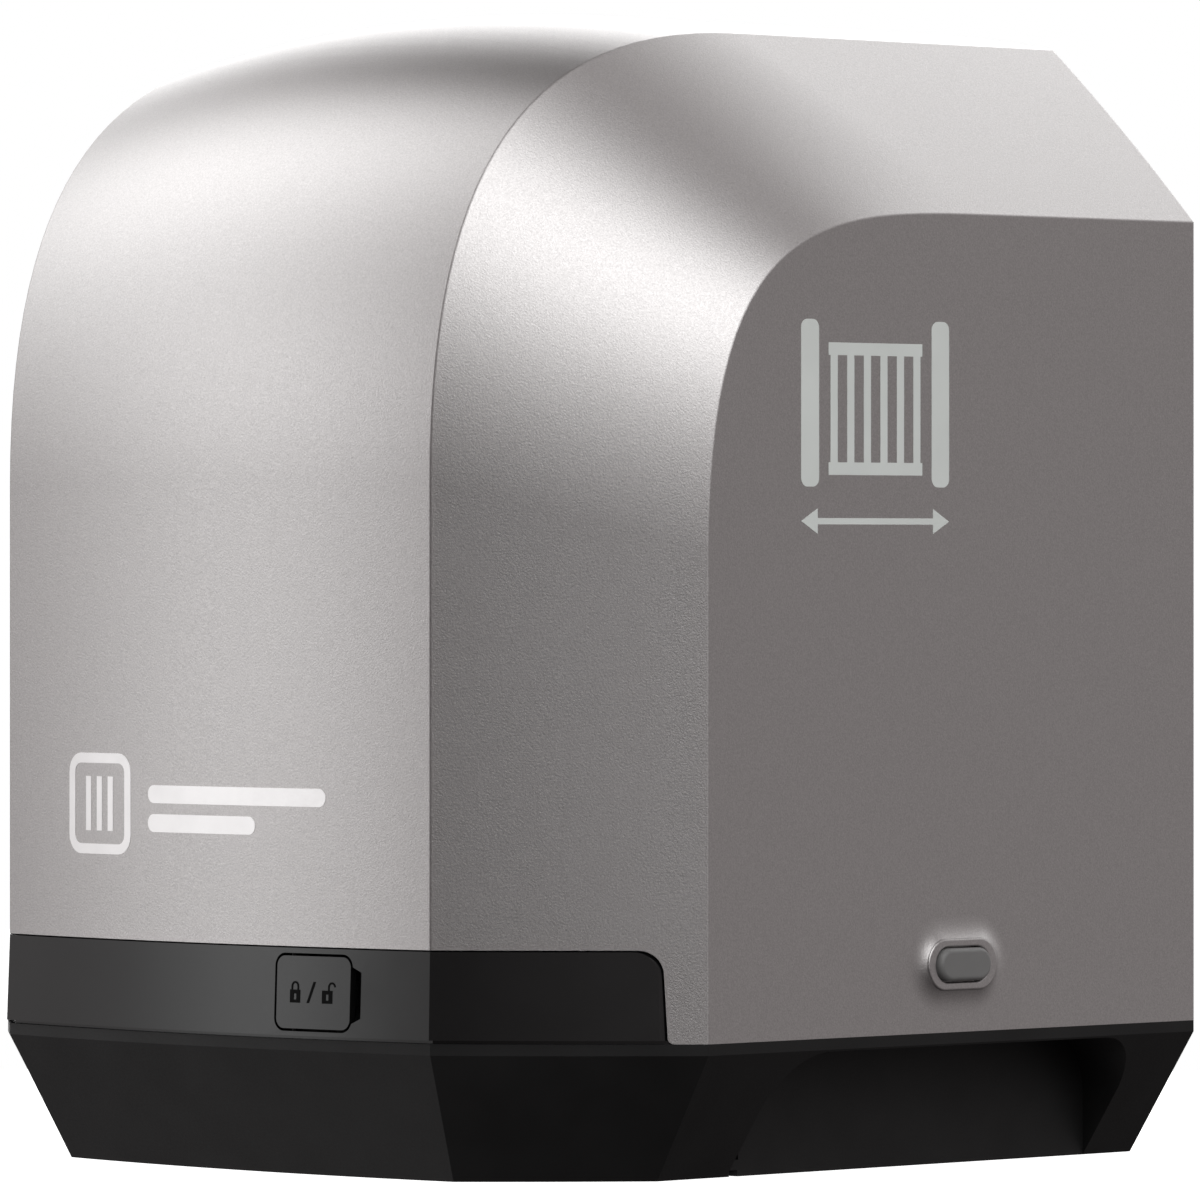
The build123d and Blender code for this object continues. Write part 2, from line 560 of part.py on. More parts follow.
def make_worm():
    """Single-start worm cut on the motor shaft, with the armature's shaft above it."""
    lead = pi * WORM_MODULE
    root_r = WORM_R - DEDENDUM * WORM_MODULE
    depth = (DEDENDUM + ADDENDUM) * WORM_MODULE
    root_half, tip_half = 1.9, 0.85
    start_z = AXIS_Z - lead * WORM_TURNS / 2
    with BuildPart() as worm:
        with BuildLine() as path:
            Helix(lead, lead * WORM_TURNS, root_r, center=(WORM_X, WHEEL_Y, start_z))
        with BuildSketch(Plane(origin=path.line @ 0, z_dir=path.line % 0, x_dir=(1, 0, 0))):
            with BuildLine():
                Polyline((-0.3, -root_half), (depth, -tip_half), (depth, tip_half),
                         (-0.3, root_half), close=True)
            make_face()
        sweep(is_frenet=True)
        with Locations((WORM_X, WHEEL_Y, AXIS_Z)):
            Cylinder(root_r + 0.1, lead * (WORM_TURNS + 1.6))
        with Locations((WORM_X, WHEEL_Y, WORM_Z[0] - 10)):
            Cylinder(WORM_SHAFT_R, MOTOR_Z + MOTOR_H + 6 - WORM_Z[0] + 10,
                     align=(Align.CENTER, Align.CENTER, Align.MIN))
    save(worm.part, "worm_shaft")


def make_output_shaft():
    """Steel shaft with pinion seat, feather keys and a threaded end hole."""
    start_y = FRONT_BEARING_Y + 1.0
    with BuildPart() as shaft:
        with BuildSketch(along_y(0, start_y, AXIS_Z)):
            Circle(SHAFT_R)
        extrude(amount=SHAFT_END_Y - start_y)
        with BuildSketch(along_y(0, SHAFT_END_Y - PINION_SCREW_LENGTH, AXIS_Z)):
            Circle(PINION_SCREW_R)
        extrude(amount=PINION_SCREW_LENGTH, mode=Mode.SUBTRACT)
        with Locations((0, CLUTCH_KEY_Y, AXIS_Z + SHAFT_R), (0, PINION_KEY_Y, AXIS_Z + SHAFT_R)):
            Box(KEY_WIDTH, KEY_LENGTH, KEY_WIDTH, mode=Mode.SUBTRACT)
    save(shaft.part, "output_shaft")
    with BuildPart() as keys:
        with Locations((0, CLUTCH_KEY_Y, AXIS_Z + SHAFT_R), (0, PINION_KEY_Y, AXIS_Z + SHAFT_R)):
            Box(KEY_WIDTH, KEY_LENGTH, KEY_WIDTH)
    save(keys.part, "shaft_keys")


def make_pinion():
    """Steel output pinion that drives the gate's rack."""
    with BuildPart() as pinion:
        extrude(tooth_section(along_y(0, PINION_Y[0], AXIS_Z), PINION_MODULE, PINION_TEETH,
                              PINION_TOOTH_SHARE, 90.0), amount=PINION_Y[1] - PINION_Y[0])
        with BuildSketch(along_y(0, PINION_Y[0] - PINION_COLLAR_H, AXIS_Z)):
            Circle(PINION_COLLAR_R)
        extrude(amount=PINION_COLLAR_H)
        with BuildSketch(along_y(0, PINION_Y[0] - 5, AXIS_Z)):
            Circle(SHAFT_R)
        extrude(amount=60, mode=Mode.SUBTRACT)
        with BuildSketch(along_y(0, SHAFT_END_Y, AXIS_Z)):
            Circle(PINION_BORE_R)
        extrude(amount=PINION_BORE_DEPTH, mode=Mode.SUBTRACT)
        with Locations((0, PINION_KEY_Y, AXIS_Z + SHAFT_R)):
            Box(KEY_WIDTH, 2 * KEY_LENGTH, KEY_WIDTH + 0.2, mode=Mode.SUBTRACT)
        chamfer(pinion.faces().sort_by(Axis.Y)[-1].outer_wire().edges(), 0.8)
    save(pinion.part, "output_pinion")
    washer_t, head_r, head_h = 2.0, 6.5, 4.5
    with BuildPart() as retainer:
        with BuildSketch(along_y(0, SHAFT_END_Y, AXIS_Z)):
            Circle(PINION_BORE_R - 0.5)
        extrude(amount=washer_t)
        with BuildSketch(along_y(0, SHAFT_END_Y + washer_t, AXIS_Z)):
            RegularPolygon(head_r, 6)
        extrude(amount=head_h)
        with BuildSketch(along_y(0, SHAFT_END_Y - PINION_SCREW_LENGTH, AXIS_Z)):
            Circle(PINION_SCREW_R)
        extrude(amount=PINION_SCREW_LENGTH)
    save(retainer.part, "pinion_screw")


def make_ball_bearing(label, plane, bore, outer, height):
    """Two races, a ring of balls and a shield, drawn as one running unit."""
    race = 0.22 * (outer - bore)
    ball_r = 0.245 * (outer - bore)
    pitch_r = (outer + bore) / 2
    balls = 9
    with BuildPart() as bearing:
        with BuildSketch(plane):
            Circle(outer)
            Circle(outer - race, mode=Mode.SUBTRACT)
            Circle(bore + race)
            Circle(bore, mode=Mode.SUBTRACT)
        extrude(amount=height)
        with BuildSketch(plane.offset(height * 0.2)):
            Circle(outer - race)
            Circle(bore + race, mode=Mode.SUBTRACT)
        extrude(amount=height * 0.6)
        with Locations(plane.offset(height / 2)):
            with PolarLocations(pitch_r, balls):
                Sphere(ball_r)
        with BuildSketch(plane):
            Circle(bore)
        extrude(amount=height, mode=Mode.SUBTRACT)
    save(bearing.part, label)


def make_bearings():
    """Output shaft and worm bearings."""
    make_ball_bearing("front_bearing", along_y(0, FRONT_BEARING_Y, AXIS_Z), SHAFT_R + FIT,
                      BEARING_R, BEARING_H)
    make_ball_bearing("rear_bearing", along_y(0, REAR_BEARING_Y, AXIS_Z), SHAFT_R + FIT,
                      BEARING_R, BEARING_H)
    for name, seat_z in zip(("worm_lower_bearing", "worm_upper_bearing"), WORM_Z):
        seat = Plane(origin=(WORM_X, WHEEL_Y, seat_z - WORM_BEARING_H))
        make_ball_bearing(name, seat, WORM_SHAFT_R + FIT, WORM_BEARING_R, WORM_BEARING_H)


def make_oil_seal():
    """Lip seal behind the rear bearing."""
    seal = ring(along_y(0, REAR_BEARING_Y + BEARING_H, AXIS_Z), BEARING_R, SHAFT_R + FIT, SEAL_H)
    save(seal, "oil_seal")


def make_gearbox():
    """Cast case with its bearing bosses, and the front plate that closes it."""
    width = CASE_X[1] - CASE_X[0]
    middle_x = (CASE_X[0] + CASE_X[1]) / 2
    height = CASE_Z[1] - CASE_Z[0]
    middle_z = (CASE_Z[0] + CASE_Z[1]) / 2
    seat_end = REAR_BEARING_Y + BEARING_H + SEAL_H
    with BuildPart() as case:
        with BuildSketch(along_y(middle_x, CASE_Y[0], middle_z)):
            RectangleRounded(width, height, CASE_CORNER)
        extrude(amount=CASE_Y[1] - CASE_Y[0])
        with BuildSketch(along_y(middle_x, CASE_Y[0], middle_z)):
            RectangleRounded(width - 2 * CASE_WALL, height - 2 * CASE_WALL, CASE_CORNER - 5)
        extrude(amount=REAR_BEARING_Y - 4 - CASE_Y[0], mode=Mode.SUBTRACT)
        with BuildSketch(along_y(0, REAR_BEARING_Y, AXIS_Z)):
            Circle(BEARING_R)
        extrude(amount=seat_end - REAR_BEARING_Y, mode=Mode.SUBTRACT)
        with BuildSketch(along_y(0, REAR_BEARING_Y - 10, AXIS_Z)):
            Circle(BEARING_R - 3)
        extrude(amount=60, mode=Mode.SUBTRACT)
        for seat_z in (CASE_Z[0] + 1, WORM_Z[1] - 12):
            with Locations((WORM_X, WHEEL_Y, seat_z)):
                Cylinder(WORM_BOSS_R, CASE_Z[1] - WORM_Z[1] + 11 if seat_z > 60 else 28,
                         align=(Align.CENTER, Align.CENTER, Align.MIN))
        with Locations((WORM_X, WHEEL_Y, WORM_Z[0] - WORM_BEARING_H)):
            Cylinder(WORM_BEARING_R, 12.0, align=(Align.CENTER, Align.CENTER, Align.MIN),
                     mode=Mode.SUBTRACT)
        with Locations((WORM_X, WHEEL_Y, WORM_Z[0] - 12)):
            Cylinder(WORM_SHAFT_R + WORM_CLEARANCE, 20.0, align=(Align.CENTER, Align.CENTER, Align.MIN),
                     mode=Mode.SUBTRACT)
        with Locations((WORM_X, WHEEL_Y, WORM_Z[1] - 14)):
            Cylinder(WORM_BEARING_R, 14.0, align=(Align.CENTER, Align.CENTER, Align.MIN),
                     mode=Mode.SUBTRACT)
        with Locations((WORM_X, WHEEL_Y, WORM_Z[1] - 14)):
            Cylinder(WORM_SHAFT_R + WORM_CLEARANCE, 40.0, align=(Align.CENTER, Align.CENTER, Align.MIN),
                     mode=Mode.SUBTRACT)
        with Locations((CASE_X[0] + 5, 30, CASE_Z[0]), (CASE_X[1] - 5, 30, CASE_Z[0]),
                       (CASE_X[1] - 5, 92, CASE_Z[0])):
            Box(*FOOT_LUG, align=(Align.CENTER, Align.CENTER, Align.MIN))
        for fin_z in FIN_Z:
            with Locations((CASE_X[1], (CASE_Y[0] + CASE_Y[1]) / 2, fin_z)):
                Box(FIN_DEPTH, CASE_Y[1] - CASE_Y[0] - 8, FIN_T)
    save(case.part, "gearbox_case")
    with BuildPart() as plate:
        with BuildSketch(along_y(middle_x, COVER_PLATE_Y - 2, middle_z)):
            RectangleRounded(width, height, CASE_CORNER)
        extrude(amount=CASE_Y[0] - COVER_PLATE_Y + 2)
        with BuildSketch(along_y(0, FRONT_BEARING_Y, AXIS_Z)):
            Circle(BEARING_R)
        extrude(amount=20, mode=Mode.SUBTRACT)
        with BuildSketch(along_y(LOCK_X, 0, LOCK_Z)):
            Circle(ROD_R + 0.3)
        extrude(amount=40, mode=Mode.SUBTRACT)
    save(plate.part, "gearbox_cover")
    head_r, head_h, socket_r, margin = 4.4, 4.5, 2.0, 16
    with BuildPart() as screws:
        with BuildSketch(along_y(middle_x, COVER_PLATE_Y - 2 - head_h, middle_z)):
            with GridLocations(width - margin, (height - margin) / 2, 2, 3):
                Circle(head_r)
                RegularPolygon(socket_r, 6, mode=Mode.SUBTRACT)
        extrude(amount=head_h)
    save(screws.part, "gearbox_screws")


# --- motor ------------------------------------------------------------------------------------
def make_motor():
    """Upright DC motor on the gearbox: flange, can, magnets, armature, end bell, encoder disc."""
    axis = Plane(origin=(WORM_X, WHEEL_Y, 0))
    with BuildPart() as flange:
        with BuildSketch(axis.offset(CASE_Z[1])):
            RectangleRounded(FLANGE_W, FLANGE_W, FLANGE_CORNER)
            Circle(WORM_SHAFT_R + WORM_CLEARANCE, mode=Mode.SUBTRACT)
        extrude(amount=FLANGE_H)
    save(flange.part, "motor_flange")
    can_r = MOTOR_R - CAN_WALL
    save(ring(axis.offset(MOTOR_Z), MOTOR_R, can_r, MOTOR_H), "motor_can")
    with BuildPart() as magnets:
        with BuildSketch(axis.offset(MOTOR_Z + STACK_Z)):
            Circle(can_r)
            Circle(can_r - MAGNET_T, mode=Mode.SUBTRACT)
            Rectangle(14, 4 * MOTOR_R, mode=Mode.SUBTRACT)
        extrude(amount=STACK_H)
    save(magnets.part, "motor_magnets")
    with BuildPart() as armature:
        with BuildSketch(axis.offset(MOTOR_Z + STACK_Z)):
            Circle(can_r - MAGNET_T - AIR_GAP)
            with PolarLocations(can_r - MAGNET_T - AIR_GAP - 2.5, SLOTS):
                Rectangle(6.0, 2.4, mode=Mode.SUBTRACT)
            Circle(WORM_SHAFT_R, mode=Mode.SUBTRACT)
        extrude(amount=STACK_H)
        with BuildSketch(axis.offset(MOTOR_Z + STACK_Z + STACK_H + 4)):
            Circle(COMMUTATOR_R)
            Circle(WORM_SHAFT_R, mode=Mode.SUBTRACT)
        extrude(amount=COMMUTATOR_H)
        with BuildSketch(axis.offset(MOTOR_Z + STACK_Z + STACK_H - 1)):
            Circle(COLLAR_R)
            Circle(WORM_SHAFT_R, mode=Mode.SUBTRACT)
        extrude(amount=COLLAR_H)
    save(armature.part, "motor_armature")
    brush_x = COMMUTATOR_R + BRUSH[0] / 2 + 0.4
    brush_z = MOTOR_Z + STACK_Z + STACK_H + 4 + COMMUTATOR_H / 2
    with BuildPart() as brushes:
        with Locations((WORM_X - brush_x, WHEEL_Y, brush_z), (WORM_X + brush_x, WHEEL_Y, brush_z)):
            Box(*BRUSH)
    save(brushes.part, "motor_brushes")
    with BuildPart() as bell:
        with BuildSketch(axis.offset(MOTOR_Z + MOTOR_H)):
            Circle(MOTOR_R)
            Circle(WORM_SHAFT_R + FIT, mode=Mode.SUBTRACT)
        extrude(amount=BELL_H)
        fillet(bell.edges().group_by(Axis.Z)[-1].sort_by(SortBy.LENGTH)[-1], BELL_ROUND)
    save(bell.part, "motor_end_bell")
    disc_z = MOTOR_Z + MOTOR_H + BELL_H + 2
    with BuildPart() as disc:
        with BuildSketch(axis.offset(disc_z)):
            Circle(DISC_R)
            with PolarLocations(DISC_R - 4, DISC_SLOTS):
                Rectangle(4, 1.6, mode=Mode.SUBTRACT)
            Circle(DISC_BORE_R, mode=Mode.SUBTRACT)
        extrude(amount=DISC_T)
    save(disc.part, "encoder_disc")
    with BuildPart() as screw:
        with BuildSketch(axis.offset(disc_z - 1)):
            Circle(DISC_BORE_R)
        extrude(amount=DISC_T + 1)
        with BuildSketch(axis.offset(disc_z + DISC_T)):
            Circle(5.0)
            Rectangle(1.2, 12, mode=Mode.SUBTRACT)
        extrude(amount=2.5)
    save(screw.part, "encoder_screw")


# --- release ----------------------------------------------------------------------------------
def make_lock():
    """Lock body behind the flap and the key cylinder with its long rod."""
    with BuildPart() as body:
        with BuildSketch(along_y(LOCK_X, LOCK_BODY_Y[0], LOCK_Z)):
            RectangleRounded(*LOCK_BODY)
            Circle(LOCK_R + FIT, mode=Mode.SUBTRACT)
        extrude(amount=LOCK_BODY_Y[1] - LOCK_BODY_Y[0])
        with Locations((LOCK_X, LOCK_BODY_Y[1], FLOOR_H)):
            Box(18, 8, LOCK_Z - LOCK_R - 2 - FLOOR_H, align=(Align.CENTER, Align.MAX, Align.MIN))
    save(body.part, "lock_body")
    with BuildPart() as cylinder:
        with BuildSketch(along_y(LOCK_X, LOCK_FACE_Y, LOCK_Z)):
            Circle(LOCK_R)
        extrude(amount=CYLINDER_LENGTH)
        with Locations((LOCK_X, LOCK_FACE_Y, LOCK_Z)):
            Box(*KEYWAY, mode=Mode.SUBTRACT)
    save(cylinder.part, "key_cylinder")
    rod_start = LOCK_FACE_Y + CYLINDER_LENGTH
    with BuildPart() as rod:
        with BuildSketch(along_y(LOCK_X, rod_start, LOCK_Z)):
            Circle(ROD_R)
        extrude(amount=ROD_END_Y - rod_start)
    save(rod.part, "release_rod")


def make_clutch():
    """Dog clutch on the output shaft, the fork that shifts it and the spring that closes it."""
    with BuildPart() as dog:
        with BuildSketch(along_y(0, DOG_Y[0], AXIS_Z)):
            Circle(DOG_R)
            Circle(SHAFT_R + FIT, mode=Mode.SUBTRACT)
        extrude(amount=DOG_Y[1] - DOG_Y[0])
        with BuildSketch(along_y(0, DOG_GROOVE[0], AXIS_Z)):
            Circle(DOG_R + 1)
            Circle(DOG_R - GROOVE_IN, mode=Mode.SUBTRACT)
        extrude(amount=DOG_GROOVE[1] - DOG_GROOVE[0], mode=Mode.SUBTRACT)
        with BuildSketch(along_y(0, DOG_Y[1], AXIS_Z)):
            with PolarLocations(DOG_PITCH_R, DOG_TEETH):
                Circle(DOG_PIN_R)
        extrude(amount=DOG_PIN_LENGTH)
        with Locations((0, CLUTCH_KEY_Y, AXIS_Z + SHAFT_R)):
            Box(KEY_WIDTH + 0.2, 3 * KEY_LENGTH, KEY_WIDTH + 0.3, mode=Mode.SUBTRACT)
    save(dog.part, "dog_clutch")
    fork_y = (DOG_GROOVE[0] + 0.4, DOG_GROOVE[1] - 0.4)
    with BuildPart() as fork:
        with BuildSketch(along_y(0, fork_y[0], AXIS_Z)):
            Circle(DOG_R + FORK_RIM)
            with BuildLine():
                Polyline((LOCK_X - 6, AXIS_Z - LOCK_Z + 6), (LOCK_X + 5, AXIS_Z - LOCK_Z - 5),
                         (22, -6), (2, 22), close=True)
            make_face()
            Circle(DOG_R - 2.5, mode=Mode.SUBTRACT)
            with Locations((-27, -27)):
                Rectangle(60, 60, rotation=45, mode=Mode.SUBTRACT)
        extrude(amount=fork_y[1] - fork_y[0])
        with BuildSketch(along_y(LOCK_X, DOG_Y[0] - 1, LOCK_Z)):
            Circle(FORK_HUB_R)
        extrude(amount=FORK_HUB_LENGTH)
        with BuildSketch(along_y(LOCK_X, DOG_Y[0] - 5, LOCK_Z)):
            Circle(ROD_R + FIT)
        extrude(amount=30, mode=Mode.SUBTRACT)
    save(fork.part, "release_fork")
    spring_y = CASE_Y[0] + 2.6
    pitch, turns, radius, wire_r = 3.0, 2.0, 18.6, 0.8
    with BuildPart() as spring:
        with BuildLine() as coil:
            Helix(pitch, pitch * turns, radius, center=(0, spring_y, AXIS_Z), direction=(0, 1, 0))
        with BuildSketch(Plane(origin=coil.line @ 0, z_dir=coil.line % 0)):
            Circle(wire_r)
        sweep(is_frenet=True)
    save(spring.part, "clutch_spring")


# --- electrics --------------------------------------------------------------------------------
BOARD_Y = -58.0  # rear face of the parts, front face of the board
BOARD_Z = (78.0, 218.0)
BOARD_HALF_W = 78.0
BOARD_T, TRAY_T = 1.6, 3.0
STANDOFF_R, STANDOFF_H = 3.5, 2.4
SCREW_R, SCREW_H, SCREW_INSET = 3.0, 2.2, 6.0
LEG_X = (-60.0, 64.0)
LEG_W = 14.0
RELAY_X = (-52.0, -30.0)
RELAY = (16.0, 18.0, 20.0)
CAPACITOR_X, CAPACITOR_R, CAPACITOR_LENGTH = 30.0, 12.5, 30.0
TERMINAL_X = (-50.0, -12.0, 26.0)
TERMINAL = (32.0, 12.0, 12.0)
CORE = (58.0, 34.0, 50.0)
CORE_X, CORE_Y, CORE_YOKE = 42.0, 58.0, 9.0
CORE_WINDOW = (11.0, 32.0)
WINDOW_X = 15.0
BRACKET_LENGTH, BRACKET_T, BRACKET_LIP = 74.0, 3.0, 16.0
COIL = (40.0, 62.0, 30.0)


def board_corners(y):
    """The board's four fixing points, at y."""
    x = BOARD_HALF_W - SCREW_INSET
    return [along_y(side * x, y, z) for side in (-1, 1)
            for z in (BOARD_Z[0] + SCREW_INSET, BOARD_Z[1] - SCREW_INSET)]


def make_electronics():
    """Control board on its tray, with relays, capacitor, terminals; transformer beside the motor."""
    board_z = sum(BOARD_Z) / 2
    board_h = BOARD_Z[1] - BOARD_Z[0]
    margin = 5.0
    tray_y = BOARD_Y + BOARD_T + STANDOFF_H
    tray_low = BOARD_Z[0] - margin
    with BuildPart() as tray:
        with BuildSketch(along_y(0, tray_y, board_z)):
            RectangleRounded(2 * (BOARD_HALF_W + margin), board_h + 2 * margin, 4)
        extrude(amount=TRAY_T)
        with Locations(*[(x, tray_y + TRAY_T, tray_low) for x in LEG_X]):
            Box(LEG_W, TRAY_T, tray_low - FLOOR_H, align=(Align.CENTER, Align.MAX, Align.MAX))
        with Locations(*board_corners(BOARD_Y + BOARD_T)):
            Cylinder(STANDOFF_R, STANDOFF_H, align=(Align.CENTER, Align.CENTER, Align.MIN))
    save(tray.part, "board_tray")
    with BuildPart() as board:
        with BuildSketch(along_y(0, BOARD_Y, board_z)):
            RectangleRounded(2 * BOARD_HALF_W, board_h, 3)
        extrude(amount=BOARD_T)
    save(board.part, "control_board")
    with BuildPart() as relays:
        with Locations(*[(x, BOARD_Y, BOARD_Z[1] - 26) for x in RELAY_X]):
            Box(*RELAY, align=(Align.CENTER, Align.MAX, Align.CENTER))
    save(relays.part, "board_relays")
    with BuildPart() as capacitor:
        with Locations(along_y(CAPACITOR_X, BOARD_Y, BOARD_Z[1] - 30)):
            Cylinder(CAPACITOR_R, CAPACITOR_LENGTH, align=(Align.CENTER, Align.CENTER, Align.MAX))
    save(capacitor.part, "board_capacitor")
    with BuildPart() as terminals:
        with Locations(*[(x, BOARD_Y, BOARD_Z[0] + 11) for x in TERMINAL_X]):
            Box(*TERMINAL, align=(Align.CENTER, Align.MAX, Align.CENTER))
    save(terminals.part, "terminal_blocks")
    with BuildPart() as screws:
        with Locations(*board_corners(BOARD_Y)):
            Cylinder(SCREW_R, SCREW_H, align=(Align.CENTER, Align.CENTER, Align.MAX))
    save(screws.part, "board_screws")
    standing = (Align.CENTER, Align.CENTER, Align.MIN)
    core_z = CASE_Z[1] + BRACKET_T
    lip_y = (BRACKET_LENGTH - BRACKET_T) / 2
    with BuildPart() as bracket:
        with Locations((CORE_X, CORE_Y, CASE_Z[1])):
            Box(CORE[0] + 4, BRACKET_LENGTH, BRACKET_T, align=standing)
        with Locations((CORE_X, CORE_Y - lip_y, CASE_Z[1]), (CORE_X, CORE_Y + lip_y, CASE_Z[1])):
            Box(CORE[0] + 4, BRACKET_T, BRACKET_LIP, align=standing)
    save(bracket.part, "transformer_bracket")
    with BuildPart() as core:
        with Locations((CORE_X, CORE_Y, core_z)):
            Box(*CORE, align=standing)
        for side in (-1, 1):
            with Locations((CORE_X + side * WINDOW_X, CORE_Y, core_z + CORE_YOKE)):
                Box(CORE_WINDOW[0], 60, CORE_WINDOW[1], align=standing, mode=Mode.SUBTRACT)
    save(core.part, "transformer_core")
    with BuildPart() as coil:
        with BuildSketch(Plane(origin=(CORE_X, CORE_Y, core_z + CORE_YOKE + 1))):
            RectangleRounded(COIL[0], COIL[1], 9)
            Rectangle(2 * WINDOW_X - CORE_WINDOW[0], CORE[1], mode=Mode.SUBTRACT)
        extrude(amount=COIL[2])
    save(coil.part, "transformer_coil")


def make_fittings():
    """Cable gland and the forks that locate the cover."""
    with BuildPart() as gland:
        with BuildSketch(Plane.XY.offset(0.5)):
            with Locations((CABLE_X, CABLE_Y)):
                Circle(CABLE_R)
                Circle(GLAND_BORE_R, mode=Mode.SUBTRACT)
        extrude(amount=GLAND_H)
        with BuildSketch(Plane.XY.offset(FLOOR_H)):
            with Locations((CABLE_X, CABLE_Y)):
                RegularPolygon(GLAND_NUT_R, 6)
                Circle(GLAND_BORE_R, mode=Mode.SUBTRACT)
        extrude(amount=GLAND_NUT_H)
    save(gland.part, "cable_gland")
    with BuildPart() as forks:
        for side in (-1, 1):
            with Locations((side * (HALF_W - STEM_LENGTH - 3.5), BUTTON_Y, GRIP_TOP_Z + BASE_WALL)):
                Box(3.0, 16.0, 20.0, align=(Align.CENTER, Align.CENTER, Align.MIN))
    save(forks.part, "cover_forks")


def make_all():
    make_cover()
    for side, hand in ((1, "right"), (-1, "left")):
        make_side_button(side, hand)
    make_base()
    make_gasket()
    make_rear_riser()
    make_apron()
    make_flap()
    make_worm_wheel()
    make_worm()
    make_output_shaft()
    make_pinion()
    make_bearings()
    make_oil_seal()
    make_gearbox()
    make_motor()
    make_lock()
    make_clutch()
    make_electronics()
    make_fittings()


make_all()
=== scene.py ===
"""Looks of the sliding-gate opener: lacquered cover shell, prints, flap marks, materials, studio."""

import json
from math import cos, pi, radians, sin, sqrt

import bmesh
import bpy
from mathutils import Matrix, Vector
from mathutils.geometry import delaunay_2d_cdt


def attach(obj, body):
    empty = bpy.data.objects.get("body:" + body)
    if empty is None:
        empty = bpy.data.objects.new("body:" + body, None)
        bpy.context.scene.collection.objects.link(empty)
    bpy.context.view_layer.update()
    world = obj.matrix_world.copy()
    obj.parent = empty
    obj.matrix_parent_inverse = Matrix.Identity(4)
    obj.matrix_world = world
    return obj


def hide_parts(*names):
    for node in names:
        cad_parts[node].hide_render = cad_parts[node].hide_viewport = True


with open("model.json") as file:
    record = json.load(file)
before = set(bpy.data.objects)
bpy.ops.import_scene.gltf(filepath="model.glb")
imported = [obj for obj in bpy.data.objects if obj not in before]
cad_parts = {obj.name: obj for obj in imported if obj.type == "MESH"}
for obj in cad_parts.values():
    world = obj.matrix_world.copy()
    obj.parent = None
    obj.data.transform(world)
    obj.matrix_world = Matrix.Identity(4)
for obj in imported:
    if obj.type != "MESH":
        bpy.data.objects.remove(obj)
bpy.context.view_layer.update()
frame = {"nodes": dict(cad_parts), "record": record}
nodes = frame["nodes"]
MM = 0.001

# --- cover surface, millimetres, as the CAD cover has it -----------------------------------------
HALF_W = 129.0
CREASE_X = 79.0
FRONT_Y, BACK_Y, SIDE_FRONT_Y = -115.0, 115.0, -66.7
TOP_Z, SIDE_TOP_Z = 291.75, 244.8
CROWN, BEVEL_CROWN = 7.2, 1.7
CREASE_ARCH = (176.3, -5.1, 78.1, 75.9)  # arch start z, arch end y, handle up, handle back
SIDE_ARCH = (157.8, 34.1, 86.0, 57.5)
CREST_RISE = 5.0  # the crest's arch has longer handles
CREASE_SHIFT, SIDE_SHIFT = 0.4, 0.42  # how far edges move along a face as it moves in by 1
BEVEL_SHARE = 0.72  # share of the bevel's crown that shows in each direction
WALL = 2.6
SEAM_Z = 35.4
BAND_Z = 75.0  # the rows below this height follow the apron's window
WINDOW_TOP_Z = 58.8
WINDOW_X = (121.3, 121.95)  # ends of the window at its top and at the seam
WINDOW_CORNER = (4.5, 6.2)  # half axes of its upper corners
LEG_R = 1.3  # corner of the silver leg beside the window
NOTCH_X, NOTCH_TOP_Z, NOTCH_R = 44.4, 126.4, 12.0  # rear notch for the riser
EDGE = 0.35  # width of the rounding along creases and edges

BUTTON_Y, BUTTON_Z = 24.0, 52.8
RIM = (25.4, 12.8)  # lengths and heights of the stadium shapes around each side button
SURROUND = (38.4, 25.2)
RECESS = (19.9, 9.3)
BOSS = (31.4, 18.8)
STEM_HOLE = (6.6, 6.6)
RECESS_X = HALF_W - 1.5
BOSS_X = HALF_W - 5.0
PUFF_W, PUFF_H, PUFF_POWER = 6.2, 1.75, 2.4  # soft swelling: width, height, steepening


# --- mesh builder --------------------------------------------------------------------------------
class Shell:
    """Faces with one normal at each corner; corners at the same point share a vertex."""

    def __init__(self):
        self.points, self.index, self.faces, self.normals = [], {}, [], []

    def vertex(self, point):
        key = tuple(round(c, 3) for c in point)
        if key not in self.index:
            self.index[key] = len(self.points)
            self.points.append([c * MM for c in point])
        return self.index[key]

    def face(self, corners):
        kept = []
        for point, normal in corners:
            i = self.vertex(point)
            if not kept or (i != kept[-1][0] and i != kept[0][0]):
                kept.append((i, Vector(normal).normalized()))
        if len(kept) < 3:
            return
        spots = [Vector(self.points[i]) for i, _ in kept]
        area = Vector()
        for a, b in zip(spots, spots[1:] + spots[:1]):
            area += a.cross(b)
        if area.dot(sum((n for _, n in kept), Vector())) < 0:
            kept.reverse()
        self.faces.append([i for i, _ in kept])
        self.normals.extend(tuple(n) for _, n in kept)

    def strip(self, one, other):
        """Quads between two rows of (point, normal) of the same length."""
        for k in range(len(one) - 1):
            self.face([one[k], one[k + 1], other[k + 1], other[k]])

    def build(self, name):
        mesh = bpy.data.meshes.new(name)
        mesh.from_pydata(self.points, [], self.faces)
        mesh.polygons.foreach_set("use_smooth", [True] * len(mesh.polygons))
        mesh.normals_split_custom_set(self.normals)
        piece = bpy.data.objects.new(name, mesh)
        bpy.context.scene.collection.objects.link(piece)
        return piece


def mean(*vectors):
    return sum((Vector(v) for v in vectors), Vector()).normalized()


